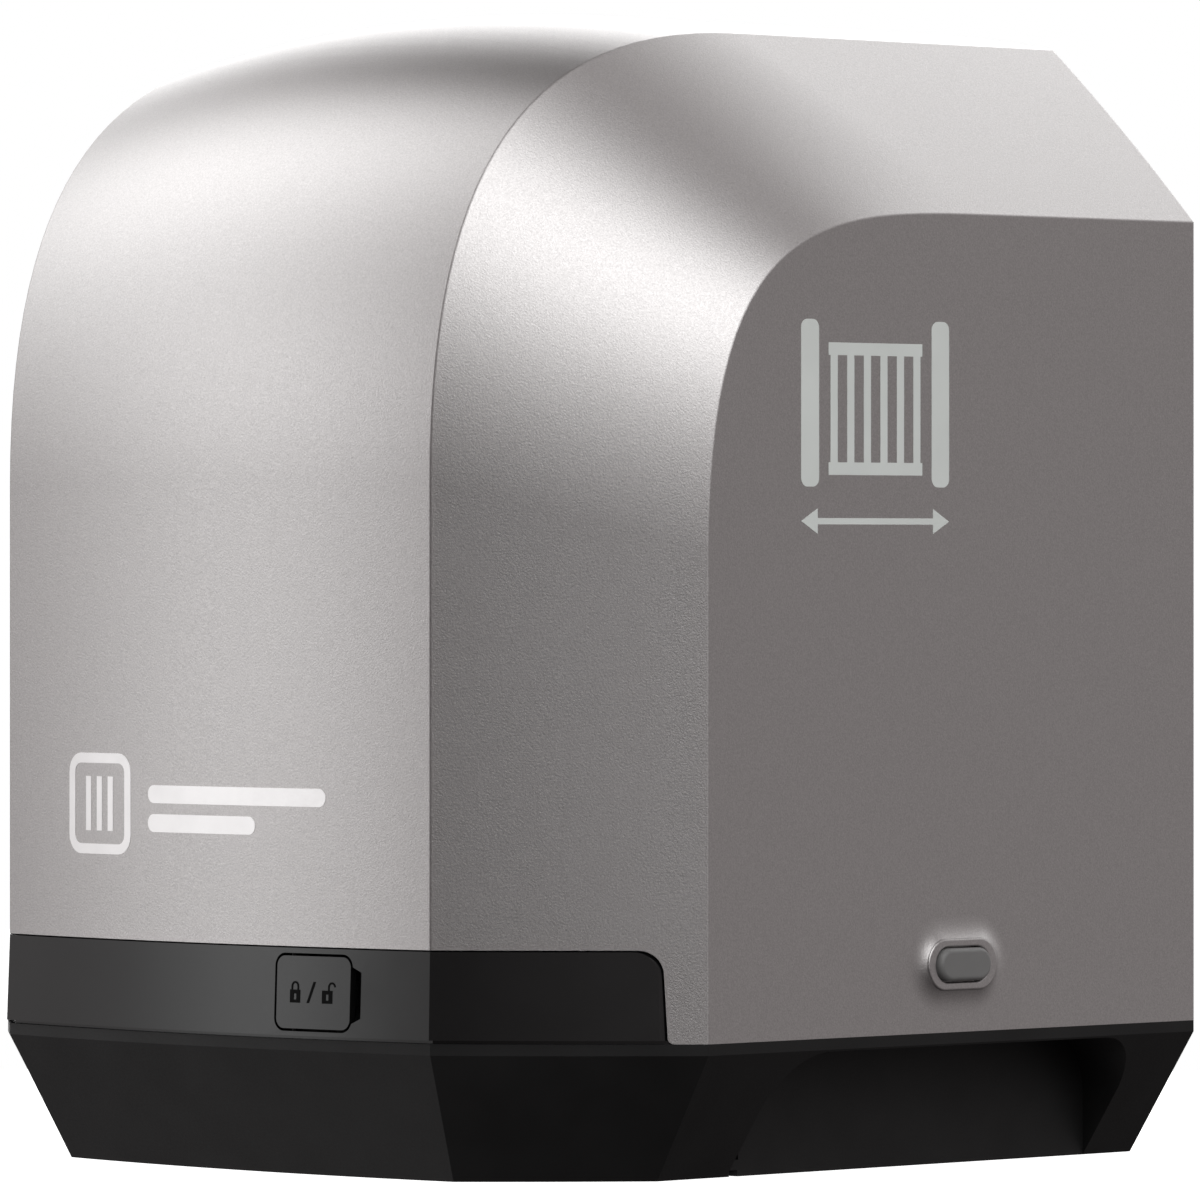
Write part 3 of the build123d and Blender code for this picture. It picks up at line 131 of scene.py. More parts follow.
# --- cover surface -------------------------------------------------------------------------------
def section_point(section, v, inset):
    """(y, z) on a section: v from 0 to 1 up the front, to 2 round the arch, to 3 along the top."""
    front_y, top_z, (start_z, end_y, up, back), rise = section
    if v <= 1:
        return front_y, BAND_Z + (start_z - BAND_Z) * v
    if v <= 2:
        t = v - 1
        weights = ((1 - t) ** 3, 3 * (1 - t) ** 2 * t, 3 * (1 - t) * t * t, t**3)
        ys = (front_y, front_y, end_y - back - rise, end_y)
        zs = (start_z, start_z + up + rise, top_z, top_z)
        return sum(w * y for w, y in zip(weights, ys)), sum(w * z for w, z in zip(weights, zs))
    return end_y + (BACK_Y - inset - end_y) * (v - 2), top_z


def surface(patch, u, v, inset=0.0):
    """Point of the cover: patch 0 is the crowned middle, -1 and 1 are the bevels, u runs across."""
    crease_x, side_x = CREASE_X - CREASE_SHIFT * inset, HALF_W - inset
    crease = (FRONT_Y + inset, TOP_Z - inset, CREASE_ARCH, 0.0)
    if patch == 0:
        crest = (FRONT_Y - CROWN + inset, TOP_Z + CROWN - inset, CREASE_ARCH, CREST_RISE)
        a, b = section_point(crest, v, inset), section_point(crease, v, inset)
        return Vector((u * crease_x, a[0] + (b[0] - a[0]) * u * u, a[1] + (b[1] - a[1]) * u * u))
    half_arch = tuple((a + b) / 2 for a, b in zip(CREASE_ARCH, SIDE_ARCH))
    middle = ((FRONT_Y + SIDE_FRONT_Y) / 2 - BEVEL_SHARE * BEVEL_CROWN + inset,
              (TOP_Z + SIDE_TOP_Z) / 2 + BEVEL_SHARE * BEVEL_CROWN - inset, half_arch, 0.0)
    outer = (SIDE_FRONT_Y + SIDE_SHIFT * inset, SIDE_TOP_Z - SIDE_SHIFT * inset, SIDE_ARCH, 0.0)
    y = z = 0.0
    for section, share in ((crease, (1 - u) * (1 - 2 * u)), (middle, 4 * u * (1 - u)),
                           (outer, u * (2 * u - 1))):
        point = section_point(section, v, inset)
        y += share * point[0]
        z += share * point[1]
    return Vector((patch * (crease_x + (side_x - crease_x) * u), y, z))


def surface_normal(patch, u, v, inset=0.0):
    step = 0.001
    v = min(max(v, step), 3 - step)
    across = surface(patch, u + step, v, inset) - surface(patch, u - step, v, inset)
    along = surface(patch, u, v + step, inset) - surface(patch, u, v - step, inset)
    normal = across.cross(along).normalized()
    inside = Vector((0, 60, 120))  # any point well inside the cover
    return normal if normal.dot(surface(patch, u, v, inset) - inside) > 0 else -normal


def window_z(x):
    """Height of the cover's lower edge at x: over the apron, down its end, to the seam."""
    x = abs(x)
    across, up = WINDOW_CORNER
    start = WINDOW_X[0] - across
    foot = WINDOW_X[1] + LEG_R
    if x <= start:
        return WINDOW_TOP_Z
    if x <= WINDOW_X[0]:
        return WINDOW_TOP_Z - up + up * sqrt(1 - ((x - start) / across) ** 2)
    if x <= WINDOW_X[1]:
        share = (x - WINDOW_X[0]) / (WINDOW_X[1] - WINDOW_X[0])
        return WINDOW_TOP_Z - up + share * (SEAM_Z + LEG_R - WINDOW_TOP_Z + up)
    if x <= foot:
        return SEAM_Z + LEG_R - sqrt(LEG_R**2 - (foot - x) ** 2)
    return SEAM_Z


def columns():
    """(patch, u) of each column of the cover, from left to right."""
    fine = EDGE / CREASE_X
    middle = [k / 16 for k in range(-15, 16)]
    across = WINDOW_CORNER[0]
    foot = WINDOW_X[1] + LEG_R
    places = [CREASE_X, CREASE_X + EDGE] + [82.0 + 4.0 * k for k in range(8)] + [113.5]
    places += [WINDOW_X[0] - across + across * sin(radians(a)) for a in range(0, 91, 10)]
    places += [WINDOW_X[0] + 0.15 * k for k in (1, 2, 3)] + [WINDOW_X[1]]
    places += [foot - LEG_R * cos(radians(a)) for a in (15, 30, 45, 60, 75, 90)]
    places += [125.0, 127.0, HALF_W - EDGE, HALF_W]
    bevel = [(x - CREASE_X) / (HALF_W - CREASE_X) for x in places]
    left = [(-1, u) for u in reversed(bevel)]
    crowned = [(0, -1 + fine)] + [(0, u) for u in middle] + [(0, 1 - fine)]
    return left + crowned + [(1, u) for u in bevel]


def rows():
    """Values of v for the rows of the cover, closest together round the arch."""
    up = [k / 6 for k in range(7)]
    round_arch = [1 + k / 28 for k in range(1, 29)]
    level = [2 + k / 5 for k in range(1, 5)]
    return up + round_arch + level + [3 - EDGE / 120, 3.0]


def cover_column(patch, u, inset):
    """One column of (point, normal), from the lower edge to the back."""
    out = []
    flat = surface(patch, u, 0.0, inset)
    low = window_z(flat.x)
    for k in range(8):
        z = low + (BAND_Z - low) * k / 8
        out.append((Vector((flat.x, flat.y, z)), surface_normal(patch, u, 0.0, inset)))
    for v in rows():
        out.append((surface(patch, u, v, inset), surface_normal(patch, u, v, inset)))
    return out


def stadium(length, height, x, normal_x, outward, side):
    """Loop of (point, normal) around a stadium on a side face; outward turns the normal."""
    count = 24
    points = []
    for half in (1, -1):
        for k in range(count):
            a = radians(-90 + 180 * (k + 0.5) / count) + (0 if half > 0 else pi)
            y = BUTTON_Y + half * (length - height) / 2 + height / 2 * cos(a)
            z = BUTTON_Z + height / 2 * sin(a)
            normal = Vector((side * normal_x, outward * cos(a), outward * sin(a)))
            points.append((Vector((side * x, y, z)), normal.normalized()))
    return points + points[:1]


def fill(shell, outline, hole, to_3d, normal, inside_hole):
    """Triangles on a flat face between its outline and a hole, both lists of 2-D points."""
    flat = [Vector(p) for p in outline + hole]
    edges = [(k, (k + 1) % len(outline)) for k in range(len(outline))]
    edges += [(len(outline) + k, len(outline) + (k + 1) % len(hole)) for k in range(len(hole))]
    points, _, triangles, *_ = delaunay_2d_cdt(flat, edges, [], 1, 1e-5)
    for triangle in triangles:
        centre = sum((points[i] for i in triangle), Vector((0, 0))) / len(triangle)
        if not inside_hole(centre):
            shell.face([(to_3d(points[i]), normal) for i in triangle])


def make_cover():
    """The silver shell: outer and inner skin, window, rear notch and the wall's thickness."""
    shell = Shell()
    grids = {}
    for inset in (0.0, WALL):
        grid = [cover_column(patch, u, inset) for patch, u in columns()]
        flip = 1 if inset == 0 else -1
        grid = [[(p, n * flip) for p, n in column] for column in grid]
        for k, (patch, u) in enumerate(columns()):
            if patch and u == 0.0:  # crease: shared normal of the middle and the bevel
                inner = grid[k + 1] if patch < 0 else grid[k - 1]
                outer = grid[k - 1] if patch < 0 else grid[k + 1]
                grid[k] = [(p, mean(a[1], b[1])) for (p, _), a, b in zip(grid[k], inner, outer)]
            if patch and u == 1.0:
                side = (patch * flip, 0, 0)
                grid[k] = [(p, mean(n, side)) for p, n in grid[k]]
        back = (0, flip, 0)
        for column in grid:
            column[-1] = (column[-1][0], mean(column[-1][1], back))
        grids[inset] = grid
        for one, other in zip(grid, grid[1:]):
            shell.strip(one, other)
    for inset, flip in ((0.0, 1), (WALL, -1)):
        add_flat_faces(shell, grids[inset], inset, flip)
    outer, inner = grids[0.0], grids[WALL]
    for k in range(len(outer) - 1):  # the wall's thickness along the lower edge
        a, b = outer[k][0][0], outer[k + 1][0][0]
        c, d = inner[k + 1][0][0], inner[k][0][0]
        edge = b - a
        normal = Vector((edge.z, 0, -edge.x)).normalized()
        if normal.z > 0:
            normal = -normal
        shell.face([(p, normal) for p in (a, b, c, d)])
    for side in (-1, 1):
        rim = [(side * HALF_W, SIDE_FRONT_Y), (side * HALF_W, SIDE_FRONT_Y + EDGE),
               (side * HALF_W, BACK_Y - EDGE), (side * HALF_W, BACK_Y),
               (side * (HALF_W - EDGE), BACK_Y), (side * NOTCH_X, BACK_Y)]
        wall_x, wall_back = HALF_W - WALL, BACK_Y - WALL
        wall_front = SIDE_FRONT_Y + SIDE_SHIFT * WALL
        rim += [(side * NOTCH_X, wall_back), (side * (wall_x - EDGE), wall_back),
                (side * wall_x, wall_back), (side * wall_x, wall_back - EDGE),
                (side * wall_x, wall_front + EDGE), (side * wall_x, wall_front)]
        shell.face([(Vector((x, y, SEAM_Z)), (0, 0, -1)) for x, y in rim])
    outside, inside = notch_outline(BACK_Y), notch_outline(BACK_Y - WALL)
    for k in range(len(outside) - 1):
        a, b, c, d = outside[k], outside[k + 1], inside[k + 1], inside[k]
        along = b - a
        normal = Vector((along.z, 0, -along.x)).normalized()
        centre = Vector((0, BACK_Y, SEAM_Z + 40))
        if normal.dot(centre - a) < 0:
            normal = -normal
        shell.face([(p, normal) for p in (a, b, c, d)])
    piece = shell.build("cover_shell")
    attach(piece, "cover")
    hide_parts("cover")
    return piece


def notch_outline(y):
    """Points along the rear notch, from its left foot over the top to its right foot."""
    points = [Vector((-NOTCH_X, y, SEAM_Z))]
    for centre_x, start in ((-NOTCH_X + NOTCH_R, 180), (NOTCH_X - NOTCH_R, 90)):
        for k in range(9):
            a = radians(start - 90 * k / 8)
            points.append(Vector((centre_x + NOTCH_R * cos(a), y,
                                  NOTCH_TOP_Z - NOTCH_R + NOTCH_R * sin(a))))
    return points + [Vector((NOTCH_X, y, SEAM_Z))]


def in_stadium(length, height):
    """Test for points of a side face that lie inside a stadium around the button."""
    def test(point):
        reach = max(abs(point[0] - BUTTON_Y) - (length - height) / 2, 0.0)
        return reach**2 + (point[1] - BUTTON_Z) ** 2 < (height / 2) ** 2
    return test


def in_notch(point):
    """Whether a point of the back lies inside the rear notch."""
    x, z = abs(point[0]), point[1]
    if x > NOTCH_X or z > NOTCH_TOP_Z:
        return False
    corner = (max(x - NOTCH_X + NOTCH_R, 0), max(z - NOTCH_TOP_Z + NOTCH_R, 0))
    return corner[0] ** 2 + corner[1] ** 2 < NOTCH_R**2


def add_flat_faces(shell, grid, inset, flip):
    """Side faces and back of the outer (flip 1) or inner (flip -1) skin."""
    for side, column in ((-1, grid[0]), (1, grid[-1])):
        face_x = side * (HALF_W - inset)
        normal = Vector((side * flip, 0, 0))
        edge = [p for p, _ in column]
        shrunk = []
        for k, point in enumerate(edge):
            before, after = edge[max(k - 1, 0)], edge[min(k + 1, len(edge) - 1)]
            along = (after - before).normalized()
            inward = Vector((0, along.z, -along.y))
            shrunk.append(point + inward * EDGE)
        shrunk[0].z = edge[0].z
        shrunk[-1] = Vector((face_x, edge[-1].y - EDGE, edge[-1].z - EDGE))
        shrunk = [p for p in shrunk[:-1] if p.y < shrunk[-1].y - 0.5] + [shrunk[-1]]
        edge_kept = edge[:len(shrunk) - 1] + [edge[-1]]
        normals = [n for _, n in column]
        for k in range(len(shrunk) - 1):
            last = k == len(shrunk) - 2
            a, b = edge_kept[k], edge_kept[k + 1]
            na, nb = normals[k], normals[-1] if last else normals[k + 1]
            ring = [(a, na)]
            if last:
                ring += [(p, n) for p, n in column[k + 1:-1]]
            ring += [(b, nb), (shrunk[k + 1], normal), (shrunk[k], normal)]
            shell.face(ring)
        corner_low = Vector((face_x, edge[-1].y, SEAM_Z))
        inner_low = Vector((face_x, edge[-1].y - EDGE, SEAM_Z))
        back_edge = mean(normal, (0, flip, 0))
        shell.face([(edge[-1], normals[-1]), (corner_low, back_edge), (inner_low, normal),
                    (shrunk[-1], normal)])
        outline = [(p.y, p.z) for p in shrunk] + [(inner_low.y, inner_low.z)]
        size = SURROUND if flip > 0 else BOSS
        hole = stadium(*size, abs(face_x), flip, 0.0, side)[:-1]
        fill(shell, outline, [(p.y, p.z) for p, _ in hole],
             lambda q, x=face_x: Vector((x, q[0], q[1])), normal, in_stadium(*size))
    back_y = BACK_Y - inset
    normal = Vector((0, flip, 0))
    edge = [column[-1] for column in grid]
    shrunk = []
    for k, (point, _) in enumerate(edge):
        before, after = edge[max(k - 1, 0)][0], edge[min(k + 1, len(edge) - 1)][0]
        along = (after - before).normalized()
        shrunk.append(point + Vector((along.z, 0, -along.x)) * EDGE)
    half = HALF_W - inset - EDGE
    shrunk[0] = Vector((-half, back_y, edge[0][0].z - EDGE))
    shrunk[-1] = Vector((half, back_y, edge[-1][0].z - EDGE))
    shrunk[1].x, shrunk[-2].x = -half + 0.05, half - 0.05
    for k in range(len(edge) - 1):
        shell.face([edge[k], edge[k + 1], (shrunk[k + 1], normal), (shrunk[k], normal)])
    for side, top, inner_top in ((-1, edge[0], shrunk[0]), (1, edge[-1], shrunk[-1])):
        corner = Vector((side * (HALF_W - inset), back_y, SEAM_Z))
        inner = Vector((side * half, back_y, SEAM_Z))
        both = mean(normal, (side * flip, 0, 0))
        shell.face([top, (corner, both), (inner, normal), (inner_top, normal)])
    notch = [(p.x, p.z) for p in notch_outline(back_y)]
    outline = [(p.x, p.z) for p in shrunk] + [(half, SEAM_Z)] + notch[::-1] + [(-half, SEAM_Z)]
    fill(shell, outline, [], lambda q: Vector((q[0], back_y, q[1])), normal, in_notch)


def make_surrounds():
    """The soft swelling, bead and recess around each side button, down to the stem's hole."""
    for side, hand in ((-1, "left"), (1, "right")):
        shell = Shell()
        profile = []  # grown by, x, normal outwards, normal sideways
        for k in range(13):
            t = k / 12
            slope = PUFF_POWER * PUFF_H * t ** (PUFF_POWER - 1) / PUFF_W
            profile.append((PUFF_W * (1 - t) + 0.3, HALF_W + PUFF_H * t**PUFF_POWER, 1.0, slope))
        profile += [(0.25, HALF_W + PUFF_H, 0.3, 1.0), (0.2, HALF_W + 2.0, 0.5, 1.0),
                    (-0.05, HALF_W + 2.2, 1.0, 0.6), (-0.4, HALF_W + 2.25, 1.0, 0.0)]
        loops = []
        for grow, x, out, sideways in profile:
            loops.append(stadium(RIM[0] + 2 * grow, RIM[1] + 2 * grow, x, out, sideways, side))
        for width, drop, out, sideways in ((0.4, -2.25, 1.0, 0.0), (0.0, -1.95, 0.7, -0.7),
                                           (0.0, 1.5, 0.0, -1.0)):
            loops.append(stadium(RECESS[0] + 2 * width, RECESS[1] + 2 * width, HALF_W - drop, out,
                                 sideways, side))
        for one, other in zip(loops, loops[1:]):
            shell.strip(one, other)
        floor_a = stadium(*RECESS, RECESS_X, 1.0, 0.0, side)
        floor_b = stadium(*STEM_HOLE, RECESS_X, 1.0, 0.0, side)
        shell.strip(floor_a, floor_b)
        shell.strip(stadium(*STEM_HOLE, RECESS_X, 0.0, -1.0, side),
                    stadium(*STEM_HOLE, BOSS_X, 0.0, -1.0, side))
        shell.strip(stadium(*STEM_HOLE, BOSS_X, -1.0, 0.0, side),
                    stadium(*BOSS, BOSS_X, -1.0, 0.0, side))
        shell.strip(stadium(*BOSS, BOSS_X, 0.0, 1.0, side),
                    stadium(*BOSS, HALF_W - WALL, 0.0, 1.0, side))
        piece = shell.build(f"button_surround_{hand}")
        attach(piece, "cover")
        yield piece


# --- prints and marks ----------------------------------------------------------------------------
def rectangle(u0, u1, w0, w1):
    """Corners of an upright rectangle."""
    return [(u0, w0), (u1, w0), (u1, w1), (u0, w1)]


def rounded(u0, u1, w0, w1, radius, corners=6):
    """Rectangle with round corners."""
    points = []
    for cu, cw, start in ((u1 - radius, w0 + radius, -90), (u1 - radius, w1 - radius, 0),
                          (u0 + radius, w1 - radius, 90), (u0 + radius, w0 + radius, 180)):
        for k in range(corners + 1):
            a = radians(start + 90 * k / corners)
            points.append((cu + radius * cos(a), cw + radius * sin(a)))
    return points


def hoop(middle, outer, inner, start, end, steps=20):
    """Part of a flat ring, as quads."""
    quads = []
    for k in range(steps):
        a, b = (radians(start + (end - start) * (k + j) / steps) for j in (0, 1))
        quads.append([(middle[0] + r * cos(t), middle[1] + r * sin(t))
                      for r, t in ((inner, a), (outer, a), (outer, b), (inner, b))])
    return quads


def plate(name, outlines, to_surface, thickness, slices=0.0):
    """Thin solid marks; to_surface(u, w, height) gives a point in millimetres."""
    work = bmesh.new()
    for outline in outlines:
        work.faces.new([work.verts.new((u, 0, w)) for u, w in outline])
    bmesh.ops.remove_doubles(work, verts=work.verts, dist=0.001)
    if slices:
        low = min(v.co.x for v in work.verts)
        high = max(v.co.x for v in work.verts)
        for k in range(1, int((high - low) / slices)):
            parts = list(work.verts) + list(work.edges) + list(work.faces)
            bmesh.ops.bisect_plane(work, geom=parts, plane_co=(low + k * slices, 0, 0),
                                   plane_no=(1, 0, 0))
    bmesh.ops.recalc_face_normals(work, faces=work.faces)
    raised = bmesh.ops.extrude_face_region(work, geom=list(work.faces))["geom"]
    lifted = {v for v in raised if isinstance(v, bmesh.types.BMVert)}
    for vertex in work.verts:
        height = thickness if vertex in lifted else -0.05
        vertex.co = Vector(to_surface(vertex.co.x, vertex.co.z, height)) * MM
    bmesh.ops.recalc_face_normals(work, faces=work.faces)
    mesh = bpy.data.meshes.new(name)
    work.to_mesh(mesh)
    work.free()
    piece = bpy.data.objects.new(name, mesh)
    bpy.context.scene.collection.objects.link(piece)
    return piece


def on_side(u, w, height):
    """Point over the right side face at y = u and z = w."""
    return HALF_W + height, u, w


def on_front(u, w, height):
    """Point over the crowned front at x = u and z = w."""
    crown = surface(0, u / CREASE_X, 0.0)
    return u, crown.y - height, w


FLAP_LEAN = 0.8 / 23.0  # the flap leans out towards its lower edge
FLAP_TOP_Z = WINDOW_TOP_Z - 0.4


def on_flap(u, w, height):
    """Point over the flap at x = u and z = w."""
    front_y = surface(0, u / CREASE_X, 0.0).y
    return u, front_y - FLAP_LEAN * (FLAP_TOP_Z - w) - height, w


def make_side_print():
    """Generic pictogram of a sliding gate between two posts, with a two-way arrow below."""
    left, right, low, high = -33.5, 21.0, 174.7, 217.0
    shapes = [rounded(left, left + 6.5, low, high, 2.2), rounded(right - 6.5, right, low, high, 2.2)]
    shapes += [rectangle(left + 10.0, right - 10.0, z, z + 3.2) for z in (low + 3.0, high - 9.0)]
    bars = 6
    for k in range(bars):
        middle = left + 12.0 + (right - left - 24.0) * k / (bars - 1)
        shapes.append(rectangle(middle - 1.3, middle + 1.3, low + 6.2, high - 9.0))
    arrow_z = 166.0
    shapes.append(rectangle(left + 6.0, right - 6.0, arrow_z - 0.8, arrow_z + 0.8))
    for tip, back in ((left, left + 6.0), (right, right - 6.0)):
        shapes.append([(tip, arrow_z), (back, arrow_z - 3.2), (back, arrow_z + 3.2)])
    return plate("side_print", shapes, on_side, 0.06)


def make_front_print():
    """Generic badge, a gate in a rounded frame, with two plain bars beside it."""
    left, right, low, high = -51.0, -25.0, 80.5, 106.5
    stroke, radius = 2.6, 5.0
    shapes = hoop((right - radius, high - radius), radius, radius - stroke, 0, 90, 6)
    shapes += hoop((left + radius, high - radius), radius, radius - stroke, 90, 180, 6)
    shapes += hoop((left + radius, low + radius), radius, radius - stroke, 180, 270, 6)
    shapes += hoop((right - radius, low + radius), radius, radius - stroke, 270, 360, 6)
    shapes += [rectangle(left + radius, right - radius, z, z + stroke) for z in (low, high - stroke)]
    shapes += [rectangle(x, x + stroke, low + radius, high - radius) for x in (left, right - stroke)]
    for k in range(3):
        middle = (left + right) / 2 + 4.6 * (k - 1)
        shapes.append(rectangle(middle - 1.1, middle + 1.1, low + 6.0, high - 6.0))
    shapes += [rounded(-18.0, 46.0, 94.0, 98.6, 2.2), rounded(-18.0, 22.0, 86.6, 91.2, 2.2)]
    return plate("front_print", shapes, on_front, 0.06, 2.5)


def make_flap_marks():
    """Closed padlock, stroke and open padlock, raised on the flap."""
    middle_z = 47.3
    shapes = []
    for x, swing in ((36.3, 0.0), (47.0, 1.5)):
        body_top = middle_z + 0.6
        shapes += [rectangle(x - 1.7, x - 0.45, middle_z - 2.7, body_top),
                   rectangle(x + 0.45, x + 1.7, middle_z - 2.7, body_top),
                   rectangle(x - 0.45, x + 0.45, middle_z - 2.7, middle_z - 1.9),
                   rectangle(x - 0.45, x + 0.45, middle_z - 0.4, body_top)]
        shapes += hoop((x + swing, body_top + 0.9), 1.25, 0.75, 0, 180, 8)
        shapes.append(rectangle(x + swing - 1.25, x + swing - 0.75, body_top, body_top + 0.9))
        if not swing:
            shapes.append(rectangle(x + 0.75, x + 1.25, body_top, body_top + 0.9))
    shapes.append([(40.2, middle_z - 2.7), (41.0, middle_z - 2.7), (43.2, middle_z + 2.7),
                   (42.4, middle_z + 2.7)])
    return plate("flap_marks", shapes, on_flap, 0.12)


# --- materials -----------------------------------------------------------------------------------
WAVE_PITCH = 0.3142  # distance between bands of the wave texture at scale 1


class Finish:
    """A Principled material whose detail comes from noise in object space, in metres."""

    def __init__(self, name, metallic, roughness, **sockets):
        self.material = bpy.data.materials.new(name)
        self.material.use_nodes = True
        self.nodes = self.material.node_tree.nodes
        self.links = self.material.node_tree.links
        self.shader = self.nodes["Principled BSDF"]
        self.shader.inputs["Metallic"].default_value = metallic
        self.shader.inputs["Roughness"].default_value = roughness
        for socket, value in sockets.items():
            self.shader.inputs[socket.replace("_", " ")].default_value = value
        self.place = self.nodes.new("ShaderNodeTexCoord").outputs["Object"]
        self.bumps = None

    def node(self, kind, inputs=(), **settings):
        """A new node whose inputs are values or another node's outputs."""
        made = self.nodes.new("ShaderNode" + kind)
        for key, value in settings.items():
            setattr(made, key, value)
        for key, value in dict(inputs).items():
            if isinstance(value, bpy.types.NodeSocket):
                self.links.new(value, made.inputs[key])
            else:
                made.inputs[key].default_value = value
        return made

    def noise(self, size_mm, detail=3.0, stretch=(1, 1, 1), rough=0.5):
        """Noise whose grains are about size_mm across."""
        scale = [s / (size_mm * MM) for s in stretch]
        where = self.node("Mapping", {"Vector": self.place, "Scale": scale})
        return self.node("TexNoise", {"Vector": where.outputs["Vector"], "Scale": 1.0, "Detail": detail,
                                      "Roughness": rough}).outputs["Fac"]

    def colours(self, factor, stops):
        """Base colour from a ramp over a factor."""
        ramp = self.node("ValToRGB", {"Fac": factor})
        points = ramp.color_ramp.elements
        while len(points) < len(stops):
            points.new(0.5)
        for point, (position, colour) in zip(points, stops):
            point.position = position
            point.color = (*colour, 1.0)
        self.links.new(ramp.outputs["Color"], self.shader.inputs["Base Color"])
        return ramp.outputs["Color"]

    def roughness(self, factor, low, high):
        """Roughness that varies between two values."""
        spread = self.node("MapRange", {"Value": factor, "From Min": 0.25, "From Max": 0.75,
                                        "To Min": low, "To Max": high})
        self.links.new(spread.outputs["Result"], self.shader.inputs["Roughness"])

    def bump(self, factor, depth_mm, strength=1.0):
        """Relief on top of what was added before."""
        inputs = {"Height": factor, "Distance": depth_mm * MM, "Strength": strength}
        if self.bumps is not None:
            inputs["Normal"] = self.bumps
        self.bumps = self.node("Bump", inputs).outputs["Normal"]
        self.links.new(self.bumps, self.shader.inputs["Normal"])

    def bands(self, pitch_mm, axis, distortion=0.0):
        """Parallel bands, such as laminations or turns of wire, across an axis."""
        where = self.node("Mapping", {"Vector": self.place, "Scale": [1 / MM] * 3})
        return self.node("TexWave", {"Vector": where.outputs["Vector"], "Scale": WAVE_PITCH / pitch_mm,
                                     "Distortion": distortion}, bands_direction=axis).outputs["Fac"]

    def cells(self, size_mm, feature="DISTANCE_TO_EDGE"):
        """Distance from the edges of irregular cells, or from their middles."""
        where = self.node("Mapping", {"Vector": self.place, "Scale": [1 / (size_mm * MM)] * 3})
        return self.node("TexVoronoi", {"Vector": where.outputs["Vector"], "Scale": 1.0},
                         feature=feature).outputs["Distance"]


def shade(colour, amount):
    """A darker or lighter colour."""
    return tuple(c * amount for c in colour)


def silver_lacquer():
    """Metallic lacquer over a fine powder grain."""
    finish = Finish("silver_lacquer", 1.0, 0.36)
    grain = finish.noise(0.45, 3.0, rough=0.65)
    finish.colours(grain, [(0.3, (0.445, 0.432, 0.430)), (0.7, (0.575, 0.558, 0.555))])
    finish.roughness(finish.noise(0.7, 2.0), 0.33, 0.39)
    finish.bump(grain, 0.06, 0.9)
    return finish.material


def moulded(name, colour, rough, grain_mm=0.5, depth_mm=0.02, spread=0.25, specular=0.5):
    """Plastic, rubber, paint or ink with a fine grain and slow clouds of colour."""
    finish = Finish(name, 0.0, rough, Specular_IOR_Level=specular)
    grain = finish.noise(grain_mm, 4.0)
    cloud = finish.noise(18.0, 2.0)
    finish.colours(cloud, [(0.3, shade(colour, 1 - spread)), (0.7, shade(colour, 1 + spread))])
    finish.roughness(grain, rough - 0.06, rough + 0.06)
    finish.bump(grain, depth_mm, 0.7)
    return finish.material


def metal(name, colour, rough, stretch=(1, 1, 1), grain_mm=0.6, depth_mm=0.01, spread=0.15):
    """Bare metal whose grain can be stretched into machining lines."""
    finish = Finish(name, 1.0, rough)
    grain = finish.noise(grain_mm, 3.0, stretch)
    cloud = finish.noise(9.0, 3.0)
    finish.colours(cloud, [(0.3, shade(colour, 1 - spread)), (0.7, shade(colour, 1 + spread))])
    finish.roughness(grain, rough - 0.08, rough + 0.08)
    finish.bump(grain, depth_mm, 0.6)
    return finish.material


def banded(name, metallic, colour, rough, pitch_mm, axis, depth_mm, dark=0.55):
    """Laminations, windings or tape: bands that are dark in their grooves."""
    finish = Finish(name, metallic, rough)
    bands = finish.bands(pitch_mm, axis, 0.4)
    finish.colours(bands, [(0.05, shade(colour, dark)), (0.35, colour)])
    finish.roughness(finish.noise(1.5, 3.0), rough - 0.07, rough + 0.07)
    finish.bump(finish.noise(0.5, 2.0), 0.004, 0.5)
    finish.bump(bands, depth_mm, 0.8)
    return finish.material


def circuit_board():
    """Green solder mask with paler copper lanes under it."""
    finish = Finish("board_green", 0.0, 0.32, Coat_Weight=0.4, Coat_Roughness=0.15)
    lanes = finish.cells(4.5)
    finish.colours(lanes, [(0.05, (0.012, 0.17, 0.07)), (0.09, (0.006, 0.085, 0.036))])
    finish.roughness(finish.noise(2.0, 3.0), 0.26, 0.40)
    finish.bump(lanes, 0.05, 0.4)
    return finish.material


def cast_metal(name, colour, rough):
    """Die-cast skin: fine pits on a slow ripple."""
    finish = Finish(name, 1.0, rough)
    pits = finish.noise(0.8, 4.0, rough=0.6)
    ripple = finish.noise(7.0, 3.0)
    finish.colours(ripple, [(0.3, shade(colour, 0.82)), (0.7, shade(colour, 1.12))])
    finish.roughness(pits, rough - 0.1, rough + 0.1)
    finish.bump(ripple, 0.12, 0.5)
    finish.bump(pits, 0.05, 0.8)
    return finish.material


